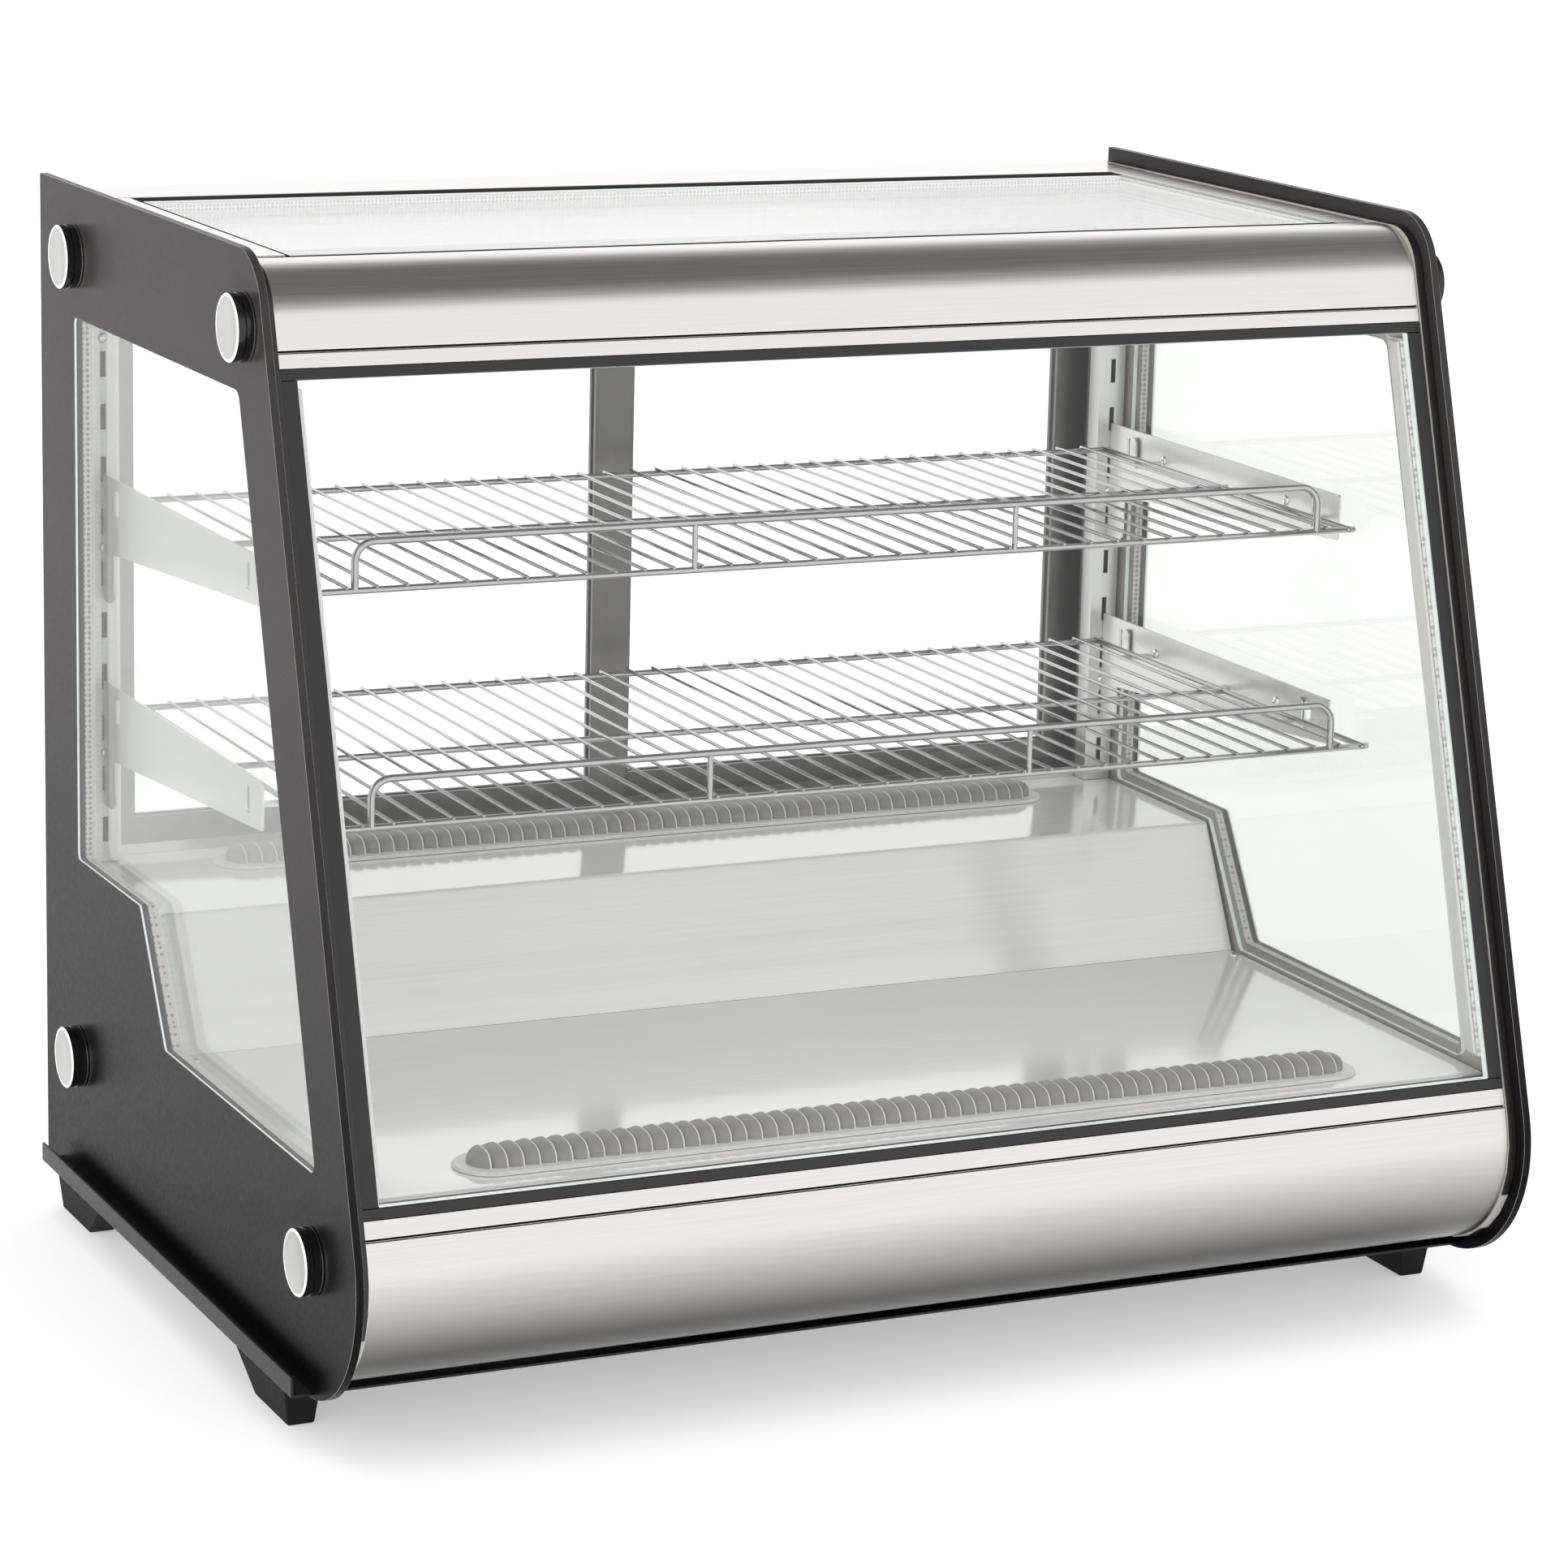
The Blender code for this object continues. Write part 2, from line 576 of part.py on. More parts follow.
# --- brackets and shelves ------------------------------------------------------------------------
def make_bracket(name, side, drop):
    """A tapered sheet bracket hooked into two slots, with tabs that carry the shelf."""
    top, rear = BRACKET_TOP - drop, STANDARD_FACE + GAP
    lobe, lobe_foot = 0.0775, 0.4160 - drop
    outline = rounded([(rear, lobe_foot), (rear, top), (BRACKET_FRONT, top), (BRACKET_FRONT, 0.4690 - drop),
                       (lobe, 0.4490 - drop), (lobe, lobe_foot)],
                      [0.004, 0.001, 0.002, 0.002, 0.001, 0.009], 3)
    plate = span(side, SLOT_X - SHEET / 2, SLOT_X + SHEET / 2)
    bracket = place(name, across(outline, *plate), "aluminium")
    blocks = []
    for index in (5, 6):
        low = slot_at(index) - drop - SLOT_HIGH / 2 + 0.0004
        blocks.append((plate, (STANDARD_FACE - 0.0045, rear + 0.002), (low, low + 0.012)))
    tab_top = RAIL_Z - drop - ROD_RADIUS - GAP
    for d in (0.125, 0.235, 0.345):
        blocks.append((span(side, 0.3455, SLOT_X), (d - 0.005, d + 0.005), (tab_top - SHEET, tab_top)))
    boolean(bracket, helper(f"{name}_hooks", boxes(blocks)), "UNION")
    through = span(side, SLOT_X - 0.01, SLOT_X + 0.01)
    holes = boxes([(through, depths, (0.4753 - drop, 0.4915 - drop))
                   for depths in ((0.080, 0.088), (0.3335, 0.3415))])
    boolean(bracket, helper(f"{name}_keyholes", holes), "DIFFERENCE")


def bars(shelf, name, paths, radius, sides):
    """Welds round bars to a shelf, one for each path."""
    bm = bmesh.new()
    for path in paths:
        tube(path, radius, sides, bm)
    boolean(shelf, helper(name, bm), "UNION")


def make_shelf(word, front, drop):
    """A welded wire shelf: wires on rods, and a raised guard rail along the front."""
    rail = RAIL_Z - drop
    wire = rail + ROD_RADIUS + WIRE_RADIUS - 0.0007
    wires = bmesh.new()
    for index in range(WIRE_COUNT):
        x = WIRE_PITCH * (index - (WIRE_COUNT - 1) / 2)
        tube([(x, SHELF_REAR - 0.002, wire), (x, front + 0.004, wire)], WIRE_RADIUS, 4, wires)
    shelf = place(f"wire_shelf_{word}", wires, "chrome", smooth=True)
    rods = [[(-RAIL_HALF, d, rail), (RAIL_HALF, d, rail)]
            for d in (SHELF_REAR + 0.002, (SHELF_REAR + front) / 2, front)]
    bars(shelf, f"shelf_rods_{word}", rods, ROD_RADIUS, 6)
    beside = rail + 0.0003
    ends = [[(x, SHELF_REAR - 0.002, beside), (x, front + 0.0031, beside)] for x in (-SIDE_ROD_X, SIDE_ROD_X)]
    bars(shelf, f"shelf_ends_{word}", ends, ROD_RADIUS * 0.95, 6)
    high, bend = rail + GUARD_RISE, 0.012
    half = [(GUARD_HALF, rail - 0.0005)]
    for angle in (0.0, 22.5, 45.0, 67.5, 90.0):
        turn = math.radians(angle)
        half.append((GUARD_HALF - bend + bend * math.cos(turn), high - bend + bend * math.sin(turn)))
    guard = [(x, front, z) for x, z in half] + [(-x, front, z) for x, z in reversed(half)]
    bars(shelf, f"shelf_guard_{word}", [guard], GUARD_RADIUS, 6)
    posts = [[(x, front + 0.0002, rail), (x, front + 0.0002, high)]
             for x in (-GUARD_HALF / 3, GUARD_HALF / 3)]
    bars(shelf, f"shelf_posts_{word}", posts, ROD_RADIUS * 0.9, 6)
    pivot(shelf, 0.0, SHELF_REAR, rail)


# --- decks and vents -----------------------------------------------------------------------------
def duct(centre, low, high):
    """A cutter for the opening in a deck under its vent."""
    return upward(stadium(VENT_HALF - VENT_FLANGE, VENT_HALF_WIDTH - VENT_FLANGE, centre), low, high)


def make_decks():
    """The raised rear deck with its sloping riser, and the lower front deck with a turned-down lip."""
    x = (-ROOM_HALF, ROOM_HALF)
    rear_edge = FRAME_FRONT + GAP
    outline = [(rear_edge, REAR_DECK), (STEP_TOP, REAR_DECK), (STEP_FOOT, FRONT_DECK),
               (STEP_FOOT - 0.0018, FRONT_DECK - 0.0006), (STEP_TOP - 0.0012, REAR_DECK - SHEET),
               (rear_edge, REAR_DECK - SHEET)]
    rear = place("rear_deck", across(outline, *x), "deck_steel")
    boolean(rear, helper("rear_deck_hole", duct(VENT_REAR_AT, 0.20, 0.30)), "DIFFERENCE")

    foot, lip = STEP_FOOT + GAP, FRONT_DECK - 0.014
    outline = [(foot, FRONT_DECK), (DECK_FRONT, FRONT_DECK), (DECK_FRONT, lip), (DECK_FRONT - SHEET, lip),
               (DECK_FRONT - SHEET, FRONT_DECK - SHEET), (foot, FRONT_DECK - SHEET)]
    front = place("front_deck", across(outline, *x), "deck_steel")
    boolean(front, helper("front_deck_hole", duct(VENT_FRONT_AT, 0.12, 0.20)), "DIFFERENCE")


def make_vent(word, centre, level):
    """A louvred grille: a flange on the deck, a raised ridge, and slots cut through it."""
    low = level + GAP
    flange = upward(stadium(VENT_HALF, VENT_HALF_WIDTH, centre), low, low + 0.0020)
    grille = place(f"vent_{word}", flange, "vent_plastic")
    inset = VENT_FLANGE + 0.002
    ridge = upward(stadium(VENT_HALF - inset, VENT_HALF_WIDTH - inset, centre), low - 0.003, low + VENT_RISE)
    boolean(grille, helper(f"vent_ridge_{word}", ridge), "UNION")
    slots = []
    for index in range(VENT_SLOTS):
        x = (index - (VENT_SLOTS - 1) / 2) * VENT_PITCH
        slots.append(((x - 0.003, x + 0.003), (centre - 0.012, centre + 0.012), (level - 0.02, level + 0.03)))
    boolean(grille, helper(f"vent_slots_{word}", boxes(slots)), "DIFFERENCE")


# --- what makes the heat -------------------------------------------------------------------------
def make_heater():
    """A sheathed heating element bent twice into three lines, on hangers under the rear deck."""
    level, reach, bend = 0.205, 0.290, 0.018
    first, second, third = (0.075 + 2 * bend * line for line in range(3))
    left, right = 0.03 - reach, reach

    def hairpin(x, start, way):
        """The half turn that joins the line at this depth to the next one."""
        turns = [math.pi * step / 6 for step in range(1, 6)]
        middle = start + bend
        return [(x + way * bend * math.sin(turn), middle - bend * math.cos(turn), level) for turn in turns]

    path = [(-reach - 0.012, first, level), (right, first, level)] + hairpin(right, first, 1)
    path += [(right, second, level), (left, second, level)] + hairpin(left, second, -1)
    path += [(left, third, level), (right + 0.012, third, level)]
    element = place("heater_element", tube(path, 0.004, 8), "heater_sheath", smooth=True)
    hangers = boxes([(span(side, reach - 0.045, reach - 0.041), (0.108, 0.156),
                      (level - 0.006, REAR_DECK - SHEET - GAP)) for side in (-1, 1)])
    boolean(element, helper("heater_hangers", hangers), "UNION")


def make_fan():
    """An axial fan on its motor, which draws air through the front vent."""
    axis = Matrix.Translation((0, back(FAN_AT), FAN_Z)) @ Matrix.Rotation(math.radians(90), 4, "X")
    hub = cylinder(0.018, -0.011, 0.011, 20, axis)
    impeller = place("fan_impeller", hub, "black_plastic", smooth=True)
    blades = bmesh.new()
    for index in range(FAN_BLADES):
        round_axis = Matrix.Rotation(2 * math.pi * index / FAN_BLADES, 4, "Z")
        pitched = Matrix.Rotation(math.radians(32), 4, "X") @ Matrix.Translation((0.034, 0, 0))
        shape = Matrix.Diagonal((0.036, 0.026, 0.002, 1))
        bmesh.ops.create_cube(blades, size=1, matrix=axis @ round_axis @ pitched @ shape)
    boolean(impeller, helper("fan_blades", blades), "UNION")
    pivot(impeller, 0.0, FAN_AT, FAN_Z)


def make_motor():
    """The fan's motor, on a bent plate that stands on the tray."""
    axis = Matrix.Translation((0, back(FAN_AT), FAN_Z)) @ Matrix.Rotation(math.radians(-90), 4, "X")
    profile = [(0, 0.0116), (0.005, 0.0116), (0.005, 0.016), (0.024, 0.018), (0.024, 0.048), (0, 0.048)]
    motor = place("fan_motor", lathe(profile, 20, axis), "dark_anodised", smooth=True)
    plate_d = FAN_AT - 0.046
    floor = TRAY_BOTTOM + TRAY_SHEET + GAP
    plate = box((-0.035, 0.035), (plate_d - 0.004, plate_d), (floor, FAN_Z + 0.030))
    boolean(motor, helper("motor_plate", plate), "UNION")
    foot = box((-0.034, 0.034), (plate_d - 0.030, plate_d - 0.002), (floor, floor + 0.003))
    boolean(motor, helper("motor_foot", foot), "UNION")


# --- rear cover and controls ---------------------------------------------------------------------
def around(x, half_x, z, half_z, depths):
    """A block centred on a place on the cover."""
    return (x - half_x, x + half_x), depths, (z - half_z, z + half_z)


def outward():
    """Turns a lathe's axis to point out of the cover at the knob, and starts it at the cover's face."""
    place_of_knob = Matrix.Translation((KNOB_X, back(COVER_FACE), CONTROL_Z))
    return place_of_knob @ Matrix.Rotation(math.radians(-90), 4, "X")


def make_rear_cover():
    sheet = box((-BODY_HALF, BODY_HALF), (COVER_FACE, COVER_FACE + SHEET), (SKIRT_BOTTOM, SILL_LOW - GAP))
    cover = place("rear_cover", sheet, "brushed_steel")
    through = (0, 0.05)
    cuts = [around(DISPLAY_X, 0.0365, CONTROL_Z, 0.0145, through),
            around(INLET_X, 0.0145, INLET_Z, 0.0105, through)]
    cuts += [around(x, 0.0080, CONTROL_Z, 0.0125, through) for x in SWITCH_XS]
    for row in range(4):
        for column in range(7):
            cuts.append(around(0.050 * column - 0.235, 0.019, 0.062 + 0.014 * row, 0.0025, through))
    boolean(cover, helper("cover_cuts", boxes(cuts)), "DIFFERENCE")
    shaft_hole = cylinder(0.0045, -0.02, 0.02, 16, outward())
    boolean(cover, helper("cover_shaft_hole", shaft_hole), "DIFFERENCE")


def make_knob():
    profile = [(0, -0.016), (0.003, -0.016), (0.003, 0.001), (0.019, 0.001), (0.019, 0.004), (0.0145, 0.0045),
               (0.0135, 0.0135), (0.0125, 0.0145), (0, 0.0145)]
    knob = place("thermostat_knob", lathe(profile, 28, outward()), "black_plastic", smooth=True)
    pointer = box((KNOB_X - 0.0008, KNOB_X + 0.0008), (0.0, 0.0032), (CONTROL_Z + 0.003, CONTROL_Z + 0.02))
    boolean(knob, helper("knob_pointer_groove", pointer), "DIFFERENCE")
    pivot(knob, KNOB_X, COVER_FACE, CONTROL_Z)


def make_rocker(name, x, finish):
    """A rocker on a pin behind the cover: round ends about the pin, and a face bent at the middle."""
    pin = COVER_FACE + ROCKER_PIN

    def about_pin(angle, radius=0.0118):
        """A point round the pin, from straight out of the cover, with the lower half pressed in."""
        turn = math.radians(angle - ROCKER_TRAVEL / 2)
        return pin - radius * math.cos(turn), CONTROL_Z + radius * math.sin(turn)

    ends = (45, 60, 75, 90, 105, 120)
    outline = [about_pin(angle) for angle in ends] + [about_pin(-angle) for angle in reversed(ends)]
    outline.append(about_pin(0, 0.0068))
    rocker = place(name, across(outline, x - 0.0072, x + 0.0072), finish)
    pivot(rocker, x, pin, CONTROL_Z)


def make_inlet():
    """The three-pin appliance inlet: a flanged shroud, open outwards, with its pins inside."""
    face = COVER_FACE - GAP
    shroud = box(*around(INLET_X, 0.014, INLET_Z, 0.010, (face - 0.0005, face + 0.020)))
    body = place("power_inlet", shroud, "black_plastic")
    flange = box(*around(INLET_X, 0.024, INLET_Z, 0.0130, (face - 0.0030, face)))
    boolean(body, helper("inlet_flange", flange), "UNION")
    well = box(*around(INLET_X, 0.0118, INLET_Z, 0.0080, (-0.01, face + 0.0165)))
    boolean(body, helper("inlet_well", well), "DIFFERENCE")
    pins = boxes([around(INLET_X + dx, 0.001, INLET_Z + dz, 0.002, (face + 0.0005, face + 0.018))
                  for dx, dz in ((-0.007, -0.0015), (0, 0.002), (0.007, -0.0015))])
    boolean(body, helper("inlet_pins", pins), "UNION")


def make_display():
    """The thermometer: a block behind the cover, a bezel in front of it and a sunk window."""
    face = COVER_FACE - GAP
    block = box(*around(DISPLAY_X, 0.036, CONTROL_Z, 0.014, (face - 0.0005, face + 0.035)))
    body = place("temperature_display", block, "black_plastic")
    bezel = box(*around(DISPLAY_X, 0.039, CONTROL_Z, 0.0175, (face - 0.004, face)))
    boolean(body, helper("display_bezel", bezel), "UNION")
    window = box(*around(DISPLAY_X - 0.011, 0.019, CONTROL_Z, 0.0095, (0, face - 0.0028)))
    boolean(body, helper("display_window", window), "DIFFERENCE")


def main():
    clear_scene()
    make_tray()
    make_feet()
    make_fascias()
    make_front()
    make_roof_and_rear()
    for side, word, track in ((-1, "left", FRONT_TRACK), (1, "right", REAR_TRACK)):
        make_side(side, word)
        make_caps(side, word)
        make_stile_and_light(side, word)
        make_post(side, word)
        make_door(side, word, track)
        make_bracket(f"bracket_upper_{word}", side, 0.0)
        make_bracket(f"bracket_lower_{word}", side, SHELF_STEP)
    make_shelf("upper", UPPER_FRONT, 0.0)
    make_shelf("lower", LOWER_FRONT, SHELF_STEP)
    make_decks()
    make_vent("rear", VENT_REAR_AT, REAR_DECK)
    make_vent("front", VENT_FRONT_AT, FRONT_DECK)
    make_heater()
    make_fan()
    make_motor()
    make_rear_cover()
    make_knob()
    make_rocker("power_switch", SWITCH_XS[0], "red_rocker")
    make_rocker("light_switch", SWITCH_XS[1], "green_rocker")
    make_inlet()
    make_display()


main()
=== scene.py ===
"""The looks of the hot food display case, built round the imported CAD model.

Every size is in metres. Distances called d run forward from the rear edge of the side glass, as in the CAD.
"""
import math

import bmesh
import bpy
from mathutils import Matrix, Vector
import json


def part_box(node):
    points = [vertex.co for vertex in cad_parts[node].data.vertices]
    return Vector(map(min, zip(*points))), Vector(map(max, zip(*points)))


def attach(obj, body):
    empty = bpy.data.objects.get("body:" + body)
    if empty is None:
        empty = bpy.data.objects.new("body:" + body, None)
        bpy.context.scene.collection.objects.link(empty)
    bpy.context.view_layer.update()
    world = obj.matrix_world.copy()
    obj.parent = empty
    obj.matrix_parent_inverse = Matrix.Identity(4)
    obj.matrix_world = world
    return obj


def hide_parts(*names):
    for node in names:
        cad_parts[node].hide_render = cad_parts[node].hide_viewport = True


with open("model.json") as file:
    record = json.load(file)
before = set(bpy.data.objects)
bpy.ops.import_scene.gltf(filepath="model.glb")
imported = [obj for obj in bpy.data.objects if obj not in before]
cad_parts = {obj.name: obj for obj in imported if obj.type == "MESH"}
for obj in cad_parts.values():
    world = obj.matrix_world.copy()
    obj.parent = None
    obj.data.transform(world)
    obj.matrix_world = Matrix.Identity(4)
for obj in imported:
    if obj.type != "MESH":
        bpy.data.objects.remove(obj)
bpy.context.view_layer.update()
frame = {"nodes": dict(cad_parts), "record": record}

# --- what the frame says --------------------------------------------------------------------------
RECORD = frame["record"]
BODY_OF = {node: body for body, nodes in RECORD["behaviour"]["bodies"].items() for node in nodes}
SIDES = ((-1, "left"), (1, "right"))

REAR_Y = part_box("side_glass_right")[1].y
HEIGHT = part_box("side_glass_right")[1].z
SIDE_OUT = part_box("side_glass_right")[1].x
GLASS_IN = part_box("side_glass_right")[0].x
FRAME_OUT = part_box("side_frame_right")[1].x
BODY_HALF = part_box("top_glass")[1].x
ROOM_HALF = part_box("front_deck")[1].x
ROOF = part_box("top_glass")[1].z
FRONT_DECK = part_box("front_deck")[1].z
REAR_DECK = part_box("rear_deck")[1].z
PANEL_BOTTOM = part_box("side_glass_right")[0].z
FASCIA_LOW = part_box("top_fascia")[0].z
STRIP_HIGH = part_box("bottom_fascia")[1].z

# --- the sloped front and the outlines that follow it ---------------------------------------------
FRONT_FOOT, FRONT_SLOPE = 0.6307, 0.3108
TOP_RADIUS, BELLY_RADIUS, FASCIA_RADIUS = 0.039, 0.083, 0.040
BODY_INSET, GLASS_SKIN, FRAME_BAND = 0.0105, 0.0014, 0.03
WINDOW_REAR, WINDOW_BAND = 0.0716, 0.055
WINDOW_LOW, WINDOW_STEP, WINDOW_TOP = 0.1685, 0.2494, 0.6025
RISER_FOOT, RISER_TOP = 0.2495, 0.2001
FASCIA_SHEET, SHEET = 0.0018, 0.0015
GROOVE_WIDTH, GROOVE_DEPTH = 0.0020, 0.0015
GROOVE_HIGH, GROOVE_LOW = 0.6303, 0.1445
SLOT_X, SLOT_PITCH, FIRST_SLOT = 0.3685, 0.034, 0.2632
STANDARD_SCREWS = (1.5, 5.5, 9.5)
DECK_BREAK, DECK_SCREW = 0.195, (0.3725, 0.250)
VENT_HOLE, REAR_VENT, FRONT_VENT = (0.298, 0.017), 0.084, 0.5146
WIRES, WIRE_PITCH = 36, 0.019
HAIR = 0.0001
SHARP = 38


def back(distance):
    """Y of a point this far forward of the side glass's rear edge."""
    return REAR_Y - distance


def depths_of(node):
    """The (nearest the rear, nearest the front) distances of a CAD node."""
    low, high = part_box(node)
    return REAR_Y - high.y, REAR_Y - low.y


def front_at(z, inset=0.0):
    """Distance forward of the sloped front line at this height."""
    return FRONT_FOOT - inset - FRONT_SLOPE * z


# --- materials ------------------------------------------------------------------------------------
NOISE_DETAIL = 5.0
DOT_JITTER, DOT_EDGE = 0.15, (0.28, 0.42)
ROUGH_SPREAD, COAT_ROUGH, RELIEF_DEPTH = 0.15, 0.06, 0.0002
FACE_ON, GRAZING_POWER = 0.04, 5.0
SMEAR, SMEAR_ROUGH = 0.01, 0.01


def empty_material(name):
    """A node material without nodes, and its node tree."""
    made = bpy.data.materials.new(name)
    made.use_nodes = True
    tree = made.node_tree
    tree.nodes.clear()
    return made, tree


def noise_at(tree, scale, stretch):
    """Noise over the piece's own coordinates, stretched along each axis."""
    coordinates = tree.nodes.new("ShaderNodeTexCoord")
    mapping = tree.nodes.new("ShaderNodeMapping")
    mapping.inputs["Scale"].default_value = stretch
    noise = tree.nodes.new("ShaderNodeTexNoise")
    noise.inputs["Scale"].default_value = scale
    noise.inputs["Detail"].default_value = NOISE_DETAIL
    tree.links.new(coordinates.outputs["Object"], mapping.inputs["Vector"])
    tree.links.new(mapping.outputs["Vector"], noise.inputs["Vector"])
    return noise.outputs["Fac"]


def height_of(tree):
    """The height on the piece."""
    place = tree.nodes.new("ShaderNodeTexCoord")
    split = tree.nodes.new("ShaderNodeSeparateXYZ")
    tree.links.new(place.outputs["Object"], split.inputs["Vector"])
    return split.outputs["Z"]


def ranged(tree, value, low, high, start=0.3, end=0.7):
    """Maps a texture's value between two limits."""
    node = tree.nodes.new("ShaderNodeMapRange")
    for socket, number in (("From Min", start), ("From Max", end), ("To Min", low), ("To Max", high)):
        node.inputs[socket].default_value = number
    tree.links.new(value, node.inputs["Value"])
    return node.outputs["Result"]


def blended(tree, factor, first, second):
    """A colour between two, by a texture's value. Each is a colour or the output that gives one."""
    node = tree.nodes.new("ShaderNodeMix")
    node.data_type = "RGBA"
    tree.links.new(factor, node.inputs["Factor"])
    for socket, colour in (("A", first), ("B", second)):
        if isinstance(colour, bpy.types.NodeSocket):
            tree.links.new(colour, node.inputs[socket])
        else:
            node.inputs[socket].default_value = (*colour, 1.0)
    return node.outputs["Result"]


def surface(name, colour, rough, metal=0.0, spread=0.06, scale=40.0, stretch=(1, 1, 1), bump=0.05,
            coat=0.0, glow=0.0, dots=None, specular=0.5, painted_shade=None):
    """A solid finish: noise varies its colour and roughness a little and roughens its surface.

    dots is the pitch and the shade of a dotted pattern. painted_shade paints shade that darkens the colour
    towards the bottom of the piece, in place of the darker floor that the lower part reflects: it gives the
    height where the painted shade is darkest, the height where the finish has its full colour, and the dark
    end's share of that colour.
    """
    made, tree = empty_material(name)
    shader = tree.nodes.new("ShaderNodeBsdfPrincipled")
    output = tree.nodes.new("ShaderNodeOutputMaterial")
    tree.links.new(shader.outputs["BSDF"], output.inputs["Surface"])
    grain = noise_at(tree, scale, stretch)
    base = blended(tree, ranged(tree, grain, 0.0, 1.0), [c * (1 - spread) for c in colour],
                   [min(c * (1 + spread), 1.0) for c in colour])
    height = grain
    if dots:
        pitch, shade = dots
        cells = tree.nodes.new("ShaderNodeTexVoronoi")
        cells.inputs["Randomness"].default_value = DOT_JITTER
        cells.inputs["Scale"].default_value = 1 / pitch
        places = tree.nodes.new("ShaderNodeTexCoord")
        tree.links.new(places.outputs["Object"], cells.inputs["Vector"])
        height = cells.outputs["Distance"]
        base = blended(tree, ranged(tree, height, 1.0, 0.0, *DOT_EDGE), base, (shade, shade, shade))
    # painted shade: darkens the colour towards the bottom of the piece, by its height
    if painted_shade:
        low, high, share = painted_shade
        full = ranged(tree, height_of(tree), 0.0, 1.0, low, high)
        base = blended(tree, full, [c * share for c in colour], base)
    tree.links.new(base, shader.inputs["Base Color"])
    varied = ranged(tree, grain, rough * (1 - ROUGH_SPREAD), rough * (1 + ROUGH_SPREAD))
    tree.links.new(varied, shader.inputs["Roughness"])
    shader.inputs["Metallic"].default_value = metal
    shader.inputs["Coat Weight"].default_value = coat
    shader.inputs["Coat Roughness"].default_value = COAT_ROUGH
    shader.inputs["Specular IOR Level"].default_value = specular
    if glow:
        shader.inputs["Emission Color"].default_value = (*colour, 1.0)
        shader.inputs["Emission Strength"].default_value = glow
    relief = tree.nodes.new("ShaderNodeBump")
    relief.inputs["Strength"].default_value = bump
    relief.inputs["Distance"].default_value = RELIEF_DEPTH
    tree.links.new(height, relief.inputs["Height"])
    tree.links.new(relief.outputs["Normal"], shader.inputs["Normal"])
    return made


def glass(name, tint, reflect):
    """A clear sheet that reflects more at a grazing angle, with faint smears in its tint and gloss."""
    made, tree = empty_material(name)
    clear = tree.nodes.new("ShaderNodeBsdfTransparent")
    smears = ranged(tree, noise_at(tree, 3.0, (1, 1, 1)), 0.0, 1.0)
    tree.links.new(blended(tree, smears, tint, [c * (1 - SMEAR) for c in tint]), clear.inputs["Color"])
    gloss = tree.nodes.new("ShaderNodeBsdfGlossy")
    gloss.inputs["Color"].default_value = (1.0, 1.0, 1.0, 1.0)
    tree.links.new(ranged(tree, noise_at(tree, 5.0, (1, 1, 3)), 0.0, SMEAR_ROUGH), gloss.inputs["Roughness"])
    facing = tree.nodes.new("ShaderNodeLayerWeight")
    facing.inputs["Blend"].default_value = 0.5
    power = tree.nodes.new("ShaderNodeMath")
    power.operation = "POWER"
    power.inputs[1].default_value = GRAZING_POWER
    tree.links.new(facing.outputs["Facing"], power.inputs[0])
    mixed = tree.nodes.new("ShaderNodeMixShader")
    share = ranged(tree, power.outputs[0], FACE_ON * reflect, reflect, 0.0, 1.0)
    tree.links.new(share, mixed.inputs["Fac"])
    tree.links.new(clear.outputs["BSDF"], mixed.inputs[1])
    tree.links.new(gloss.outputs["BSDF"], mixed.inputs[2])
    output = tree.nodes.new("ShaderNodeOutputMaterial")
    tree.links.new(mixed.outputs["Shader"], output.inputs["Surface"])
    return made


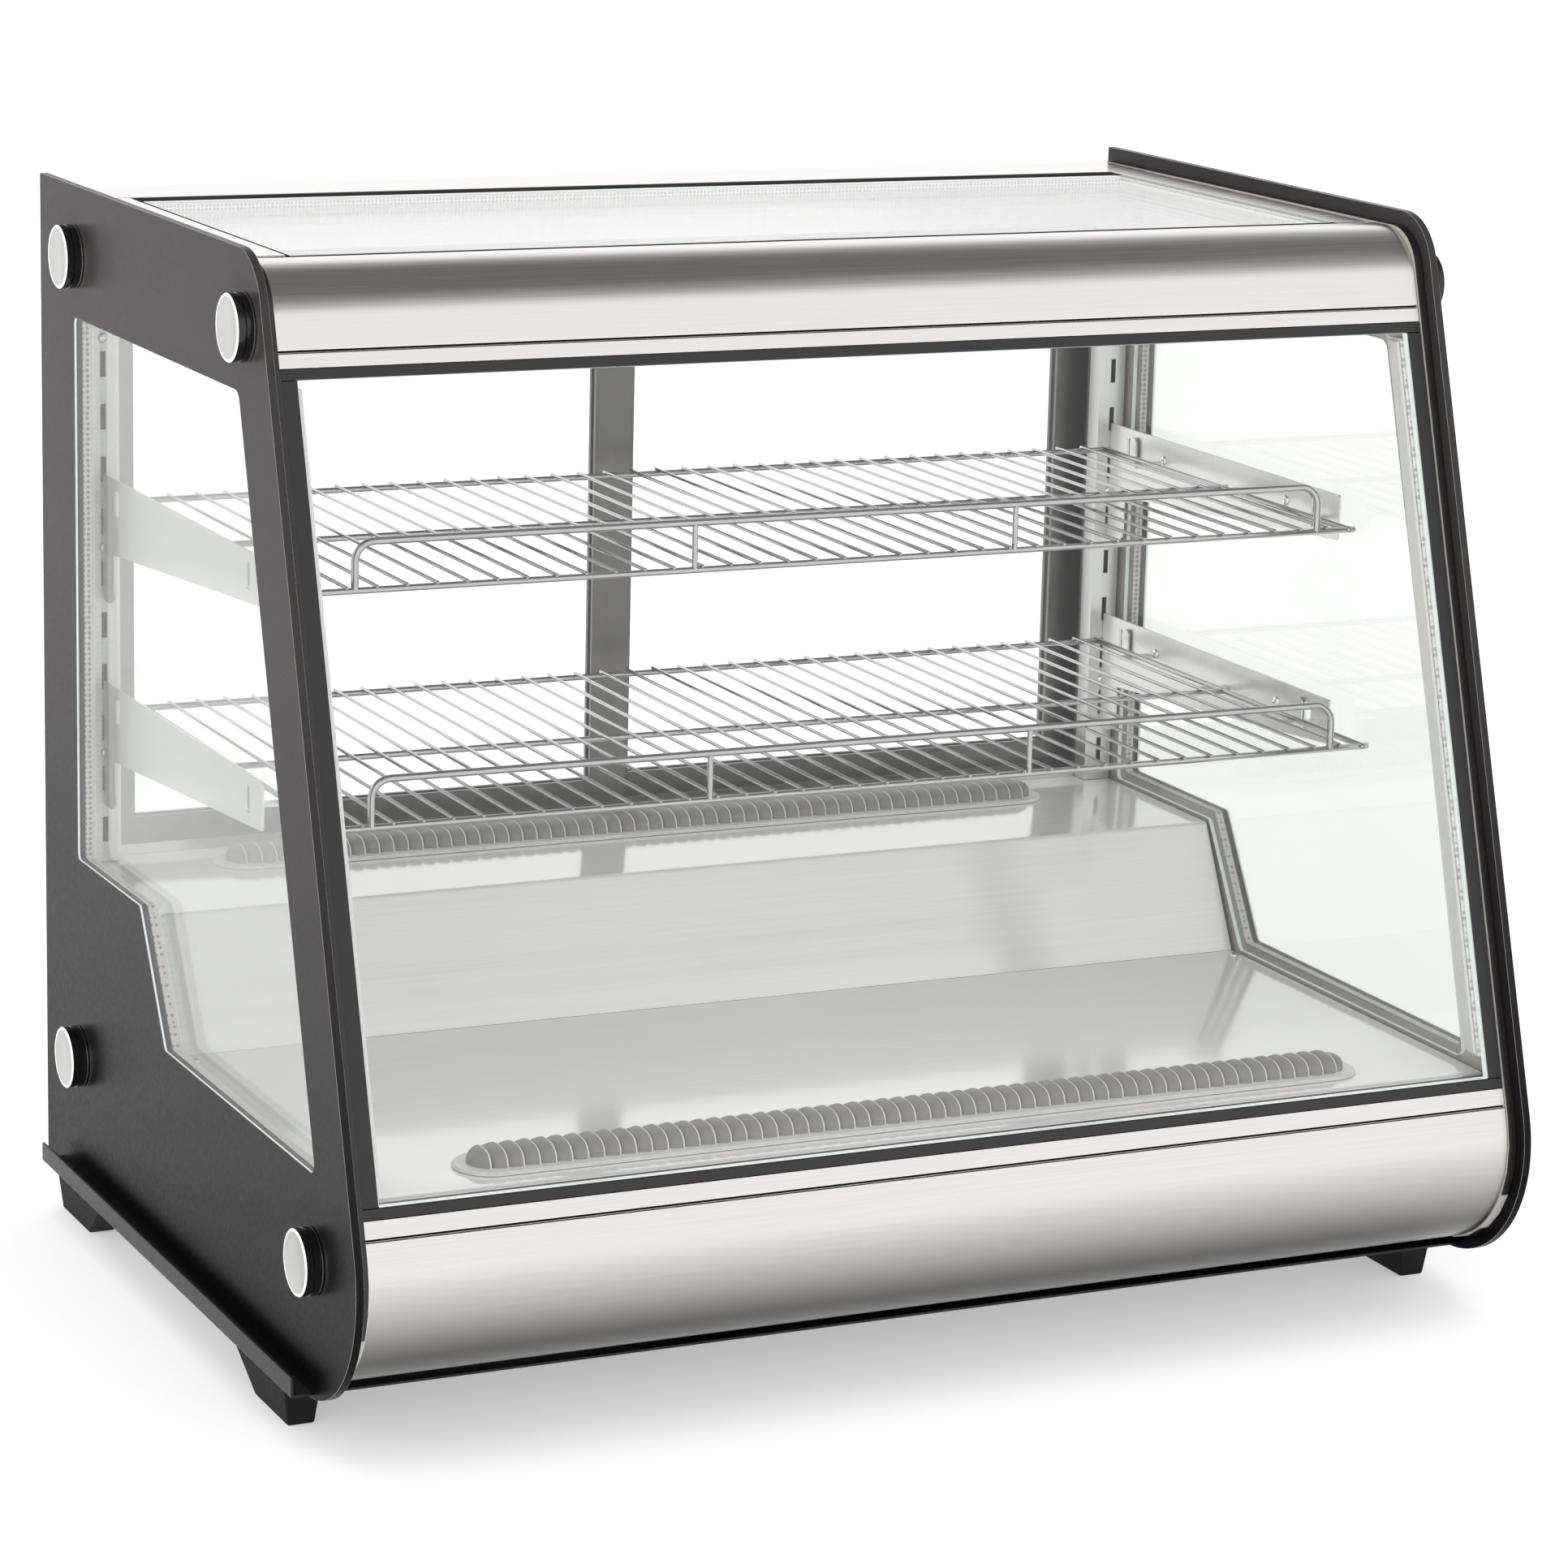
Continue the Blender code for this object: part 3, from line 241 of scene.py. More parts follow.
ALONG_X = (0.012, 1.0, 1.0)
ALONG_Z = (1.0, 1.0, 0.012)
FINISHES = {
    "black_sheet": dict(colour=(0.014, 0.012, 0.012), rough=0.38, spread=0.2, scale=500, bump=0.15,
                        specular=0.3),
    # the black print has painted shade: darker towards the bottom, in place of the shaded floor that its
    # gloss reflects
    "black_print": dict(colour=(0.052, 0.047, 0.047), rough=0.32, spread=0.05, scale=300, bump=0.0,
                        specular=0.05, painted_shade=(0.06, 0.45, 0.05)),
    "black_frame": dict(colour=(0.016, 0.014, 0.014), rough=0.35, spread=0.2, scale=300, bump=0.1),
    "frame_grey": dict(colour=(0.52, 0.50, 0.465), rough=0.40, spread=0.05, scale=300, bump=0.1),
    "black_plastic": dict(colour=(0.012, 0.011, 0.011), rough=0.40, spread=0.2, scale=900, bump=0.15),
    "black_gloss": dict(colour=(0.010, 0.009, 0.009), rough=0.16, spread=0.2, scale=200, bump=0.02),
    "rubber": dict(colour=(0.010, 0.009, 0.009), rough=0.65, spread=0.25, scale=700, bump=0.3,
                   specular=0.15),
    "brushed_steel": dict(colour=(0.66, 0.645, 0.63), rough=0.24, metal=1.0, spread=0.03, scale=700,
                          stretch=ALONG_X, bump=0.06),
    # the belly's steel has painted shade: darker towards its lower edge, in place of the shaded floor under
    # the case that it reflects
    "belly_steel_painted_shade": dict(colour=(0.66, 0.645, 0.63), rough=0.24, metal=1.0, spread=0.03, scale=700,
                        stretch=ALONG_X, bump=0.06, painted_shade=(0.066, 0.122, 0.20)),
    "deck_steel": dict(colour=(0.93, 0.925, 0.915), rough=0.11, metal=0.22, spread=0.03, scale=500,
                       stretch=ALONG_X, bump=0.02),
    "chrome": dict(colour=(0.46, 0.46, 0.46), rough=0.09, metal=1.0, spread=0.05, scale=90, bump=0.03),
    "aluminium": dict(colour=(0.74, 0.74, 0.73), rough=0.38, metal=1.0, spread=0.04, scale=700,
                      stretch=ALONG_Z, bump=0.06),
    "cap_face": dict(colour=(0.54, 0.54, 0.53), rough=0.40, metal=1.0, spread=0.05, scale=600,
                     stretch=(1, 0.03, 1), bump=0.08),
    # bright metal for screws, rims and dimples, also put on edges as painted highlight lines
    "bright_rim": dict(colour=(0.92, 0.92, 0.91), rough=0.10, metal=1.0, spread=0.02, scale=60, bump=0.02),
    "dark_anodised": dict(colour=(0.17, 0.165, 0.16), rough=0.34, metal=0.9, spread=0.08, scale=700,
                          stretch=ALONG_Z, bump=0.06),
    # glass edges glow: a painted highlight in place of the light that real glass carries to its edges
    "glass_edge_painted_glow": dict(colour=(0.72, 0.76, 0.75), rough=0.25, spread=0.04, scale=120, bump=0.05, glow=0.30),
    "spacer": dict(colour=(0.72, 0.70, 0.67), rough=0.45, metal=0.6, spread=0.06, scale=400, bump=0.2,
                   dots=(0.0026, 0.16)),
    "liner": dict(colour=(0.66, 0.64, 0.61), rough=0.5, spread=0.08, scale=900, bump=0.2,
                  dots=(0.0034, 0.30)),
    "lamp_face": dict(colour=(0.86, 0.86, 0.84), rough=0.5, spread=0.06, scale=900, bump=0.2,
                      dots=(0.0042, 0.52)),
    "diffuser": dict(colour=(0.74, 0.74, 0.72), rough=0.5, spread=0.05, scale=500, bump=0.1),
    # a black seal, also painted into the fascias' grooves as painted shade
    "seal": dict(colour=(0.010, 0.010, 0.010), rough=0.8, spread=0.3, scale=800, bump=0.3, specular=0.04),
    "vent_plastic": dict(colour=(0.30, 0.29, 0.285), rough=0.42, spread=0.06, scale=500, bump=0.1),
    # light grey for the flange, also painted along the hoods' lips as a highlight
    "vent_rim": dict(colour=(0.80, 0.80, 0.79), rough=0.35, spread=0.05, scale=300, bump=0.05),
    "red_rocker": dict(colour=(0.55, 0.03, 0.02), rough=0.30, spread=0.1, scale=300, bump=0.05, coat=0.4),
    "green_rocker": dict(colour=(0.02, 0.28, 0.06), rough=0.30, spread=0.1, scale=300, bump=0.05, coat=0.4),
    "heater_sheath": dict(colour=(0.30, 0.26, 0.24), rough=0.45, metal=0.9, spread=0.2, scale=60, bump=0.1),
    "white_mark": dict(colour=(0.80, 0.80, 0.78), rough=0.5, spread=0.04, scale=300, bump=0.05),
    "floor": dict(colour=(0.93, 0.93, 0.93), rough=0.9, spread=0.004, scale=2.0, bump=0.0, specular=0.0,
                  glow=0.45),
}
GLASSES = {
    "side_glass": dict(tint=(0.975, 0.978, 0.975), reflect=0.36),
    "pane_glass": dict(tint=(0.925, 0.930, 0.925), reflect=0.9),
    "clear_glass": dict(tint=(0.975, 0.978, 0.975), reflect=0.6),
    "front_glass": dict(tint=(0.985, 0.988, 0.985), reflect=0.5),
}


def finish(name):
    """The node material of this name, made the first time that it is asked for."""
    found = bpy.data.materials.get("look_" + name)
    if found:
        return found
    if name in GLASSES:
        return glass("look_" + name, **GLASSES[name])
    return surface("look_" + name, **FINISHES[name])


# --- turning meshes into pieces -------------------------------------------------------------------
def piece(name, bm, finishes, node=None, body="case", slot=None, bevel=0.0, segments=2, smooth=SHARP,
          arris=-1):
    """An object from a bmesh, riding on a body, with rounded edges in the finish of index arris.

    node is the CAD node that it stands for, which then says the body.
    """
    finishes = [finishes] if isinstance(finishes, str) else finishes
    bmesh.ops.recalc_face_normals(bm, faces=bm.faces)
    mesh = bpy.data.meshes.new(name)
    bm.to_mesh(mesh)
    bm.free()
    mesh.shade_smooth()
    mesh.set_sharp_from_angle(angle=math.radians(smooth))
    obj = bpy.data.objects.new(name, mesh)
    bpy.context.scene.collection.objects.link(obj)
    for word in finishes:
        mesh.materials.append(finish(word))
    if bevel:
        rounding = obj.modifiers.new("rounded_edges", "BEVEL")
        rounding.width = bevel
        rounding.segments = segments
        rounding.limit_method = "ANGLE"
        rounding.angle_limit = math.radians(smooth)
        rounding.harden_normals = True
        rounding.material = arris
    if node:
        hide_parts(node)
        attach(obj, BODY_OF[node])
    else:
        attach(obj, body)
    return obj


MERGE_WITHIN, FLAT_WITHIN = 1e-6, 0.5


def cad_mesh(node):
    """A CAD node's solid with its flat faces whole again."""
    bm = bmesh.new()
    bm.from_mesh(frame["nodes"][node].data)
    bmesh.ops.remove_doubles(bm, verts=bm.verts, dist=MERGE_WITHIN)
    bmesh.ops.dissolve_limit(bm, angle_limit=math.radians(FLAT_WITHIN), verts=bm.verts, edges=bm.edges)
    for face in bm.faces:
        face.material_index = 0
    return bm


def painted(bm, paint):
    """Gives each face the finish of the index that paint picks for it."""
    bm.normal_update()
    for face in bm.faces:
        face.material_index = paint(face)
    return bm


def refined(node, finishes, bevel=0.0005, paint=None, **more):
    """A piece that keeps a CAD node's shape and gets rounded edges. paint picks a face's finish."""
    bm = cad_mesh(node)
    if paint:
        painted(bm, paint)
    piece(node + "_look", bm, finishes, node=node, bevel=bevel, **more)


def cut(obj, cutter_bm):
    """Cuts a shape out of a piece for good."""
    bmesh.ops.recalc_face_normals(cutter_bm, faces=cutter_bm.faces)
    mesh = bpy.data.meshes.new("cutter")
    cutter_bm.to_mesh(mesh)
    cutter_bm.free()
    cutter = bpy.data.objects.new("cutter", mesh)
    bpy.context.scene.collection.objects.link(cutter)
    step = obj.modifiers.new("cut", "BOOLEAN")
    step.operation = "DIFFERENCE"
    step.object = cutter
    obj.modifiers.move(len(obj.modifiers) - 1, 0)
    with bpy.context.temp_override(object=obj, active_object=obj, selected_objects=[obj]):
        bpy.ops.object.modifier_apply(modifier=step.name)
    bpy.data.objects.remove(cutter)
    obj.data.set_sharp_from_angle(angle=math.radians(SHARP))


# --- shape helpers --------------------------------------------------------------------------------
def span(side, inner, outer):
    """The (low, high) X range between two distances from the middle, on the left (-1) or right (1)."""
    return (side * inner, side * outer) if side > 0 else (side * outer, side * inner)


def rounded(corners, radii, steps=8):
    """The outline through these corners, with an arc of each radius in its corner."""
    points = []
    count = len(corners)
    for index, (corner, radius) in enumerate(zip(corners, radii)):
        here = Vector(corner)
        if radius == 0:
            points.append((here.x, here.y))
            continue
        before = (Vector(corners[index - 1]) - here).normalized()
        after = (Vector(corners[(index + 1) % count]) - here).normalized()
        half = before.angle(after) / 2
        centre = here + (before + after).normalized() * (radius / math.sin(half))
        start = here + before * (radius / math.tan(half)) - centre
        turn = 1 if before.x * after.y - before.y * after.x < 0 else -1
        for step in range(steps + 1):
            angle = turn * (math.pi - 2 * half) * step / steps
            cos, sin = math.cos(angle), math.sin(angle)
            points.append((centre.x + start.x * cos - start.y * sin,
                           centre.y + start.x * sin + start.y * cos))
    return points


def prism(rings, push, bm=None):
    """A prism from a flat outline, which may have a hole: rings are lists of points, push its depth."""
    bm = bm or bmesh.new()
    edges = []
    for ring in rings:
        verts = [bm.verts.new(point) for point in ring]
        edges += [bm.edges.new(pair) for pair in zip(verts, verts[1:] + verts[:1])]
    if len(rings) == 1:
        faces = [bm.faces.new([edge.verts[0] for edge in edges])]
    else:
        filled = bmesh.ops.triangle_fill(bm, use_beauty=True, edges=edges)
        faces = [item for item in filled["geom"] if isinstance(item, bmesh.types.BMFace)]
    pushed = bmesh.ops.extrude_face_region(bm, geom=faces)
    moved = [item for item in pushed["geom"] if isinstance(item, bmesh.types.BMVert)]
    bmesh.ops.translate(bm, verts=moved, vec=push)
    return bm


def across(outline, x, hole=None, bm=None):
    """A prism along X from an outline of (distance from the rear, height) points."""
    rings = [[(x[0], back(d), z) for d, z in ring] for ring in (outline, hole) if ring]
    return prism(rings, (x[1] - x[0], 0, 0), bm)


def upward(outline, z, hole=None, bm=None):
    """A prism along Z from an outline of (x, distance from the rear) points."""
    rings = [[(x, back(d), z[0]) for x, d in ring] for ring in (outline, hole) if ring]
    return prism(rings, (0, 0, z[1] - z[0]), bm)


def rectangle(x, d):
    """The outline between two (low, high) ranges: x, and distance from the rear."""
    return [(x[0], d[0]), (x[1], d[0]), (x[1], d[1]), (x[0], d[1])]


def slab(x, y, z):
    """A block given by its (low, high) X, Y and height."""
    return upward(rectangle(x, (REAR_Y - y[1], REAR_Y - y[0])), z)


def lathe(profile, segments, matrix, bm=None):
    """A solid turned round Z from (radius, height, finish index) points, both ends on the axis."""
    bm = bm or bmesh.new()
    rings = []
    for radius, height, _ in profile:
        turns = [2 * math.pi * step / segments for step in range(segments if radius else 1)]
        rings.append([bm.verts.new(matrix @ Vector((radius * math.cos(a), radius * math.sin(a), height)))
                      for a in turns])
    for lower, upper, point in zip(rings, rings[1:], profile):
        for step in range(segments):
            after = (step + 1) % segments
            if len(lower) == 1:
                corners = (lower[0], upper[step], upper[after])
            elif len(upper) == 1:
                corners = (lower[step], lower[after], upper[0])
            else:
                corners = (lower[step], lower[after], upper[after], upper[step])
            bm.faces.new(corners).material_index = point[2]
    return bm


TIP_STEPS = ((0.0, 0.3), (0.3, 0.75), (1.0, 1.0))


def tube(points, radius, sides, bm, tips=0.0):
    """Adds a round bar along a path of (x, d, z) points. tips rounds its ends over this length."""
    path = [Vector((x, back(d), z)) for x, d, z in points]
    stations = [(point, radius) for point in path]
    if tips:
        first, last = ([(end + (inner - end).normalized() * (tips * along), radius * size)
                        for along, size in TIP_STEPS]
                       for end, inner in ((path[0], path[1]), (path[-1], path[-2])))
        stations = first + stations[1:-1] + last[::-1]
    side = (stations[1][0] - stations[0][0]).orthogonal().normalized()
    rings = []
    for index, (point, size) in enumerate(stations):
        before = stations[max(index - 1, 0)][0]
        after = stations[min(index + 1, len(stations) - 1)][0]
        forward = (after - before).normalized()
        side = (side - forward * side.dot(forward)).normalized()
        other = forward.cross(side)
        turns = [2 * math.pi * step / sides for step in range(sides)]
        rings.append([bm.verts.new(point + size * (side * math.cos(a) + other * math.sin(a)))
                      for a in turns])
    for first, second in zip(rings, rings[1:]):
        for step in range(sides):
            after = (step + 1) % sides
            bm.faces.new((first[step], first[after], second[after], second[step]))
    bm.faces.new(rings[0])
    bm.faces.new(rings[-1])


def stadium(half_length, half_width, centre, steps=12):
    """A slot shape with round ends along X, as (x, distance from the rear) points."""
    points = []
    for end in (1, -1):
        for step in range(steps + 1):
            angle = math.pi * step / steps - math.pi / 2 + (math.pi if end < 0 else 0)
            points.append((end * (half_length - half_width) + half_width * math.cos(angle),
                           centre + half_width * math.sin(angle)))
    return points


def case_outline(inset, steps=24):
    """The case seen from the side, inset from the edge of the side glass."""
    top, bottom = HEIGHT - inset, PANEL_BOTTOM + inset
    corners = [(inset, bottom), (inset, top), (front_at(top, inset), top), (front_at(bottom, inset), bottom)]
    return rounded(corners, [0, 0, TOP_RADIUS - inset, BELLY_RADIUS - inset], steps)


def window_outline(grow=0.0):
    """The clear window in the side glass, which follows the step of the decks."""
    low, step, top, rear = WINDOW_LOW - grow, WINDOW_STEP - grow, WINDOW_TOP + grow, WINDOW_REAR - grow
    corners = [(rear, step), (rear, top),
               (front_at(WINDOW_TOP, WINDOW_BAND - grow), top),
               (front_at(WINDOW_LOW, WINDOW_BAND - grow), low),
               (RISER_FOOT - grow / 2, low), (RISER_TOP - grow / 2, step)]
    return rounded(corners, [0.004, 0.004, 0.008, 0.006, 0.004, 0.004], 6)


def turned(x, distance, z, way):
    """Points a lathe's axis along way, a unit vector, at this place."""
    quaternion = Vector((0, 0, 1)).rotation_difference(Vector(way))
    return Matrix.Translation((x, back(distance), z)) @ quaternion.to_matrix().to_4x4()


SCREW_SHAPE = ((0.0, -0.0012), (0.6, -0.0012), (1.0, 0.0), (1.0, 0.0004), (0.86, 0.0012), (0.5, 0.0017),
               (0.0, 0.0019))


def screw(name, place, radius=0.0034):
    """A domed cross-head screw; place turns its axis outward from the surface that it sits on."""
    profile = [(radius * share, height, 0) for share, height in SCREW_SHAPE]
    head = piece(name, lathe(profile, 20, place), "bright_rim", slot="chrome")
    for turn in (0, math.pi / 2):
        spot = Matrix.Rotation(turn, 4, "Z") @ Matrix.Translation((0, 0, 0.0016))
        size = Matrix.Diagonal((radius * 1.15, radius * 0.26, 0.0018, 1))
        arm = bmesh.new()
        bmesh.ops.create_cube(arm, size=1, matrix=place @ spot @ size)
        cut(head, arm)


# --- sides ----------------------------------------------------------------------------------------
def pane_paint(axis):
    """Tells a pane's two broad faces, square to this axis, from its edges."""
    return lambda face: 0 if abs(getattr(face.normal, axis)) > 0.5 else 1


def make_side(side, word):
    """Side glass with its black print, the frame behind it and the bright liner round its window.

    Real glass bends the view so that the print seems close under its face; here the print fills the
    glass, and the window in it has a thin clear sheet flush with the face.
    """
    printed = across(case_outline(0), span(side, GLASS_IN, SIDE_OUT), hole=window_outline())
    # the print's edges and rounded arrises glow as a painted highlight
    piece(f"side_glass_{word}_look", printed, ["black_print", "glass_edge_painted_glow"], node=f"side_glass_{word}",
          bevel=0.0004, arris=1)
    cover = across(window_outline(-HAIR / 2), span(side, SIDE_OUT - GLASS_SKIN, SIDE_OUT - HAIR))
    piece(f"side_window_{word}", painted(cover, pane_paint("x")), ["side_glass", "glass_edge_painted_glow"],
          slot="clear_glass")

    def frame_paint(face):
        """Grey for the frame's inner faces and its window's edges, black for its outer rim."""
        middle = face.calc_center_median()
        ahead = front_at(middle.z) - (REAR_Y - middle.y)
        rim = ahead < FRAME_BAND or not PANEL_BOTTOM + FRAME_BAND <= middle.z <= HEIGHT - FRAME_BAND
        return 1 if face.normal.x * side < -0.5 or not rim and abs(face.normal.x) < 0.5 else 0

    refined(f"side_frame_{word}", ["black_frame", "frame_grey"], 0.0004, paint=frame_paint)
    liner = across(window_outline(0.0011), span(side, BODY_HALF + 0.0004, FRAME_OUT - HAIR),
                   hole=window_outline(0.0003))
    piece(f"window_liner_{word}", liner, "liner", slot="aluminium")
    refined(f"side_pane_{word}", ["pane_glass", "glass_edge_painted_glow"], 0.0003, paint=pane_paint("x"))


CAP_STUD, CAP_SEAT = 0.005, 0.0003


def make_caps():
    """Stand-off caps: a brushed face in a bright rim, and a black side in two rings with a groove."""
    for side, word in SIDES:
        for corner in ("rear_top", "front_top", "rear_low", "front_low"):
            node = f"cap_{corner}_{word}"
            low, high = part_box(node)
            middle = (low + high) / 2
            place = turned(0, REAR_Y - middle.y, middle.z, (side, 0, 0))
            radius = (high.z - low.z) / 2
            stud, face = sorted((abs(low.x), abs(high.x)))
            seat = SIDE_OUT + CAP_SEAT
            thick = face - seat
            profile = [(0, stud, 0), (CAP_STUD, stud, 0), (CAP_STUD, seat, 2), (radius - 0.0004, seat, 2),
                       (radius, seat + 0.0004, 1), (radius, seat + 0.0011, 2),
                       (radius, seat + thick * 0.47, 2), (radius - 0.0009, seat + thick * 0.50, 2),
                       (radius - 0.0009, seat + thick * 0.54, 2), (radius - 0.0002, seat + thick * 0.57, 2),
                       (radius - 0.0002, face - 0.0008, 1), (radius - 0.0009, face - 0.0001, 1),
                       (radius - 0.0016, face, 1), (radius - 0.0021, face - 0.0003, 0),
                       (0, face - 0.0003, 0)]
            piece(node + "_look", lathe(profile, 72, place), ["cap_face", "bright_rim", "black_gloss"],
                  node=node)


# --- front and roof -------------------------------------------------------------------------------
def grooved(curve, z, after):
    """Puts the groove under this height into an outer line, after the point of this index."""
    low = z - GROOVE_WIDTH
    bottom = BODY_INSET + GROOVE_DEPTH
    dip = [(front_at(z, BODY_INSET), z), (front_at(z, bottom), z - HAIR),
           (front_at(low, bottom), low + HAIR), (front_at(low, BODY_INSET), low)]
    return curve[:after] + dip + curve[after:]


def groove_shade_paint(z):
    """Tells the faces inside the groove under this height, finish 2, from the rest of its sheet; finish 2 is
    black, painted shade in the groove.
    """
    deepest, nearest = front_at(z, BODY_INSET + FASCIA_SHEET - HAIR), front_at(z, BODY_INSET + 4 * HAIR)

    def paint(face):
        middle = face.calc_center_median()
        inside = deepest < REAR_Y - middle.y < nearest
        level = z - GROOVE_WIDTH * 1.02 < middle.z < z + HAIR
        return 2 if inside and level and abs(face.normal.x) < 0.5 else 0

    return paint


def inner_line(outer, thick):
    """The line inside a sheet's outer line, a sheet's thickness away."""
    inner = []
    for before, here, after in zip(outer, outer[1:], outer[2:]):
        along = (Vector(after) - Vector(here)).normalized() + (Vector(here) - Vector(before)).normalized()
        normal = Vector((along.y, -along.x)).normalized()
        inner.append((here[0] + normal.x * thick, here[1] + normal.y * thick))
    return inner


def bent_sheet(node, steel, curve, inner, groove, after):
    """A fascia between its outer and inner lines, its groove after the outer line's point of this index."""
    outline = grooved(curve, groove, after) + inner[::-1]
    sheet = painted(across(outline, (-BODY_HALF, BODY_HALF)), groove_shade_paint(groove))
    # the rounded arrises take finish 1, a bright metal painted as highlight lines along the edges
    piece(node + "_look", sheet, [steel, "bright_rim", "seal"], node=node, bevel=0.0003, smooth=30, arris=1)


def make_fascias():
    """The brushed sheets at the top and the bottom of the front, each with a groove along its strip."""
    start = depths_of("top_fascia")[0]
    corners = [(start, ROOF), (front_at(ROOF, BODY_INSET), ROOF),
               (front_at(FASCIA_LOW, BODY_INSET), FASCIA_LOW)]
    curve = rounded(corners, [0, FASCIA_RADIUS, 0], 28)
    inner = [(start, ROOF - FASCIA_SHEET)] + inner_line(curve, FASCIA_SHEET)
    inner.append((curve[-1][0] - FASCIA_SHEET, FASCIA_LOW))
    bent_sheet("top_fascia", "brushed_steel", curve, inner, GROOVE_HIGH, len(curve) - 1)

    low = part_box("bottom_fascia")[0].z
    rear = depths_of("bottom_fascia")[0]
    corners = [(front_at(STRIP_HIGH, BODY_INSET), STRIP_HIGH), (front_at(low, BODY_INSET), low), (rear, low)]
    curve = rounded(corners, [0, BELLY_RADIUS - BODY_INSET, 0], 40)
    inner = [(curve[0][0] - FASCIA_SHEET, STRIP_HIGH)] + inner_line(curve, FASCIA_SHEET)
    inner.append((rear, low + FASCIA_SHEET))
    # the bottom sheet's finish has painted shade, darker towards its lower edge
    bent_sheet("bottom_fascia", "belly_steel_painted_shade", curve, inner, GROOVE_LOW, 1)


def make_front():
    """The sloped front glass between its trims and stiles, and the light bars behind it."""
    refined("front_glass", ["front_glass", "glass_edge_painted_glow"], 0.0004, paint=pane_paint("y"))
    for node in ("top_trim", "bottom_trim"):
        refined(node, "black_plastic", 0.0004)
    for side, word in SIDES:
        # the stiles' inward faces take bright metal as a painted highlight line
        refined(f"front_stile_{word}", ["black_plastic", "bright_rim"], 0.0004,
                paint=lambda face, way=side: 1 if face.normal.x * way < -0.5 else 0)
        refined(f"led_bar_{word}", "lamp_face", 0.0006)
        refined(f"led_diffuser_{word}", "diffuser", 0.0005)


PANE_HALF, SPACER_HALF, SPACER_WIDE, RAIL_INNER = 0.3518, 0.3582, 0.009, 0.3540
UPPER_PANE, LOWER_PANE, RAIL_SHEET = 0.0012, 0.0028, 0.001


def roof_pane(name, half, depths, z, **which):
    """A pane of the roof with edges that glow as a painted highlight."""
    bm = painted(upward(rectangle((-half, half), depths), z), pane_paint("z"))
    piece(name, bm, ["clear_glass", "glass_edge_painted_glow"], bevel=0.0003, **which)


def roof_ring(name, word, outer, inner, z, slot):
    """A flat ring between two (half width, distances) rectangles."""
    rings = [rectangle((-half, half), depths) for half, depths in (outer, inner)]
    piece(name, upward(rings[0], z, hole=rings[1]), word, slot=slot, bevel=0.0002)


def make_roof():
    """The roof's two panes with a spacer between them, its black seals, and its steel side rails."""
    rear, front = depths_of("top_glass")
    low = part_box("top_glass")[0].z
    upper_d = (rear + 0.021, front - 0.0075)
    roof_pane("roof_upper_pane", PANE_HALF, upper_d, (ROOF - UPPER_PANE, ROOF), node="top_glass")
    roof_pane("roof_lower_pane", BODY_HALF - 0.0015, (rear + 0.001, front - 0.0005),
              (low, low + LOWER_PANE), slot="clear_glass")
    roof_ring("roof_spacer", "spacer", (SPACER_HALF, (rear + 0.0045, front - 0.0035)),
              (SPACER_HALF - SPACER_WIDE, (rear + 0.0260, front - 0.0070)),
              (ROOF - 0.0060, ROOF - UPPER_PANE - HAIR), "aluminium")
    roof_ring("roof_seal", "seal", (PANE_HALF + 0.0016, (rear + 0.0002, front - 0.0003)),
              (PANE_HALF + HAIR, (upper_d[0] - HAIR, upper_d[1] + HAIR)),
              (ROOF - 0.0011, ROOF - 0.0002), "rubber")
    rail_rear, rail_front = rear + 0.0010, front - 0.0090
    for side, word in SIDES:
        section = rectangle(span(side, RAIL_INNER, ROOM_HALF), (ROOF - RAIL_SHEET, ROOF))
        ring = [(x, back(rail_rear), z) for x, z in section]
        rail = prism([ring], (0, back(rail_front) - back(rail_rear), 0))
        piece(f"roof_rail_{word}", rail, "brushed_steel", slot="brushed_steel", bevel=0.0005)


def make_rear_frame():
    """The header and sill with the door tracks, the posts, and the slotted standards with their screws."""
    refined("top_header", "brushed_steel", 0.0004)
    refined("rear_sill", "brushed_steel", 0.0004)
    face = depths_of("shelf_standard_left")[1]
    for side, word in SIDES:
        refined(f"rear_post_{word}", "dark_anodised", 0.0005)
        refined(f"shelf_standard_{word}", "aluminium", 0.0003)
        for index, step in enumerate(STANDARD_SCREWS):
            z = FIRST_SLOT + SLOT_PITCH * step
            screw(f"standard_screw_{index + 1}_{word}", turned(side * SLOT_X, face, z, (0, -1, 0)))


def make_doors():
    """The two sliding doors at the rear: their frames and panes."""
    for _, word in SIDES:
        refined(f"door_frame_{word}", "dark_anodised", 0.0006)
        refined(f"door_glass_{word}", ["front_glass", "glass_edge_painted_glow"], 0.0003, paint=pane_paint("y"))


# --- shelves --------------------------------------------------------------------------------------
TABS, DIMPLES = (0.0925, 0.3295), (0.132, 0.297)
TAB_TOP, TAB_FOOT, TAB_HALF, TAB_STEM_HALF, TAB_STEM = 0.0045, 0.026, 0.0045, 0.0035, 0.004
DIMPLE_DROP = 0.0145
DIMPLE_SHAPE = ((0, -0.0004, 0), (0.0036, -0.0004, 0), (0.0036, 0.0002, 0), (0.0030, 0.0012, 0),
                (0.0016, 0.0018, 0), (0, 0.0020, 0))


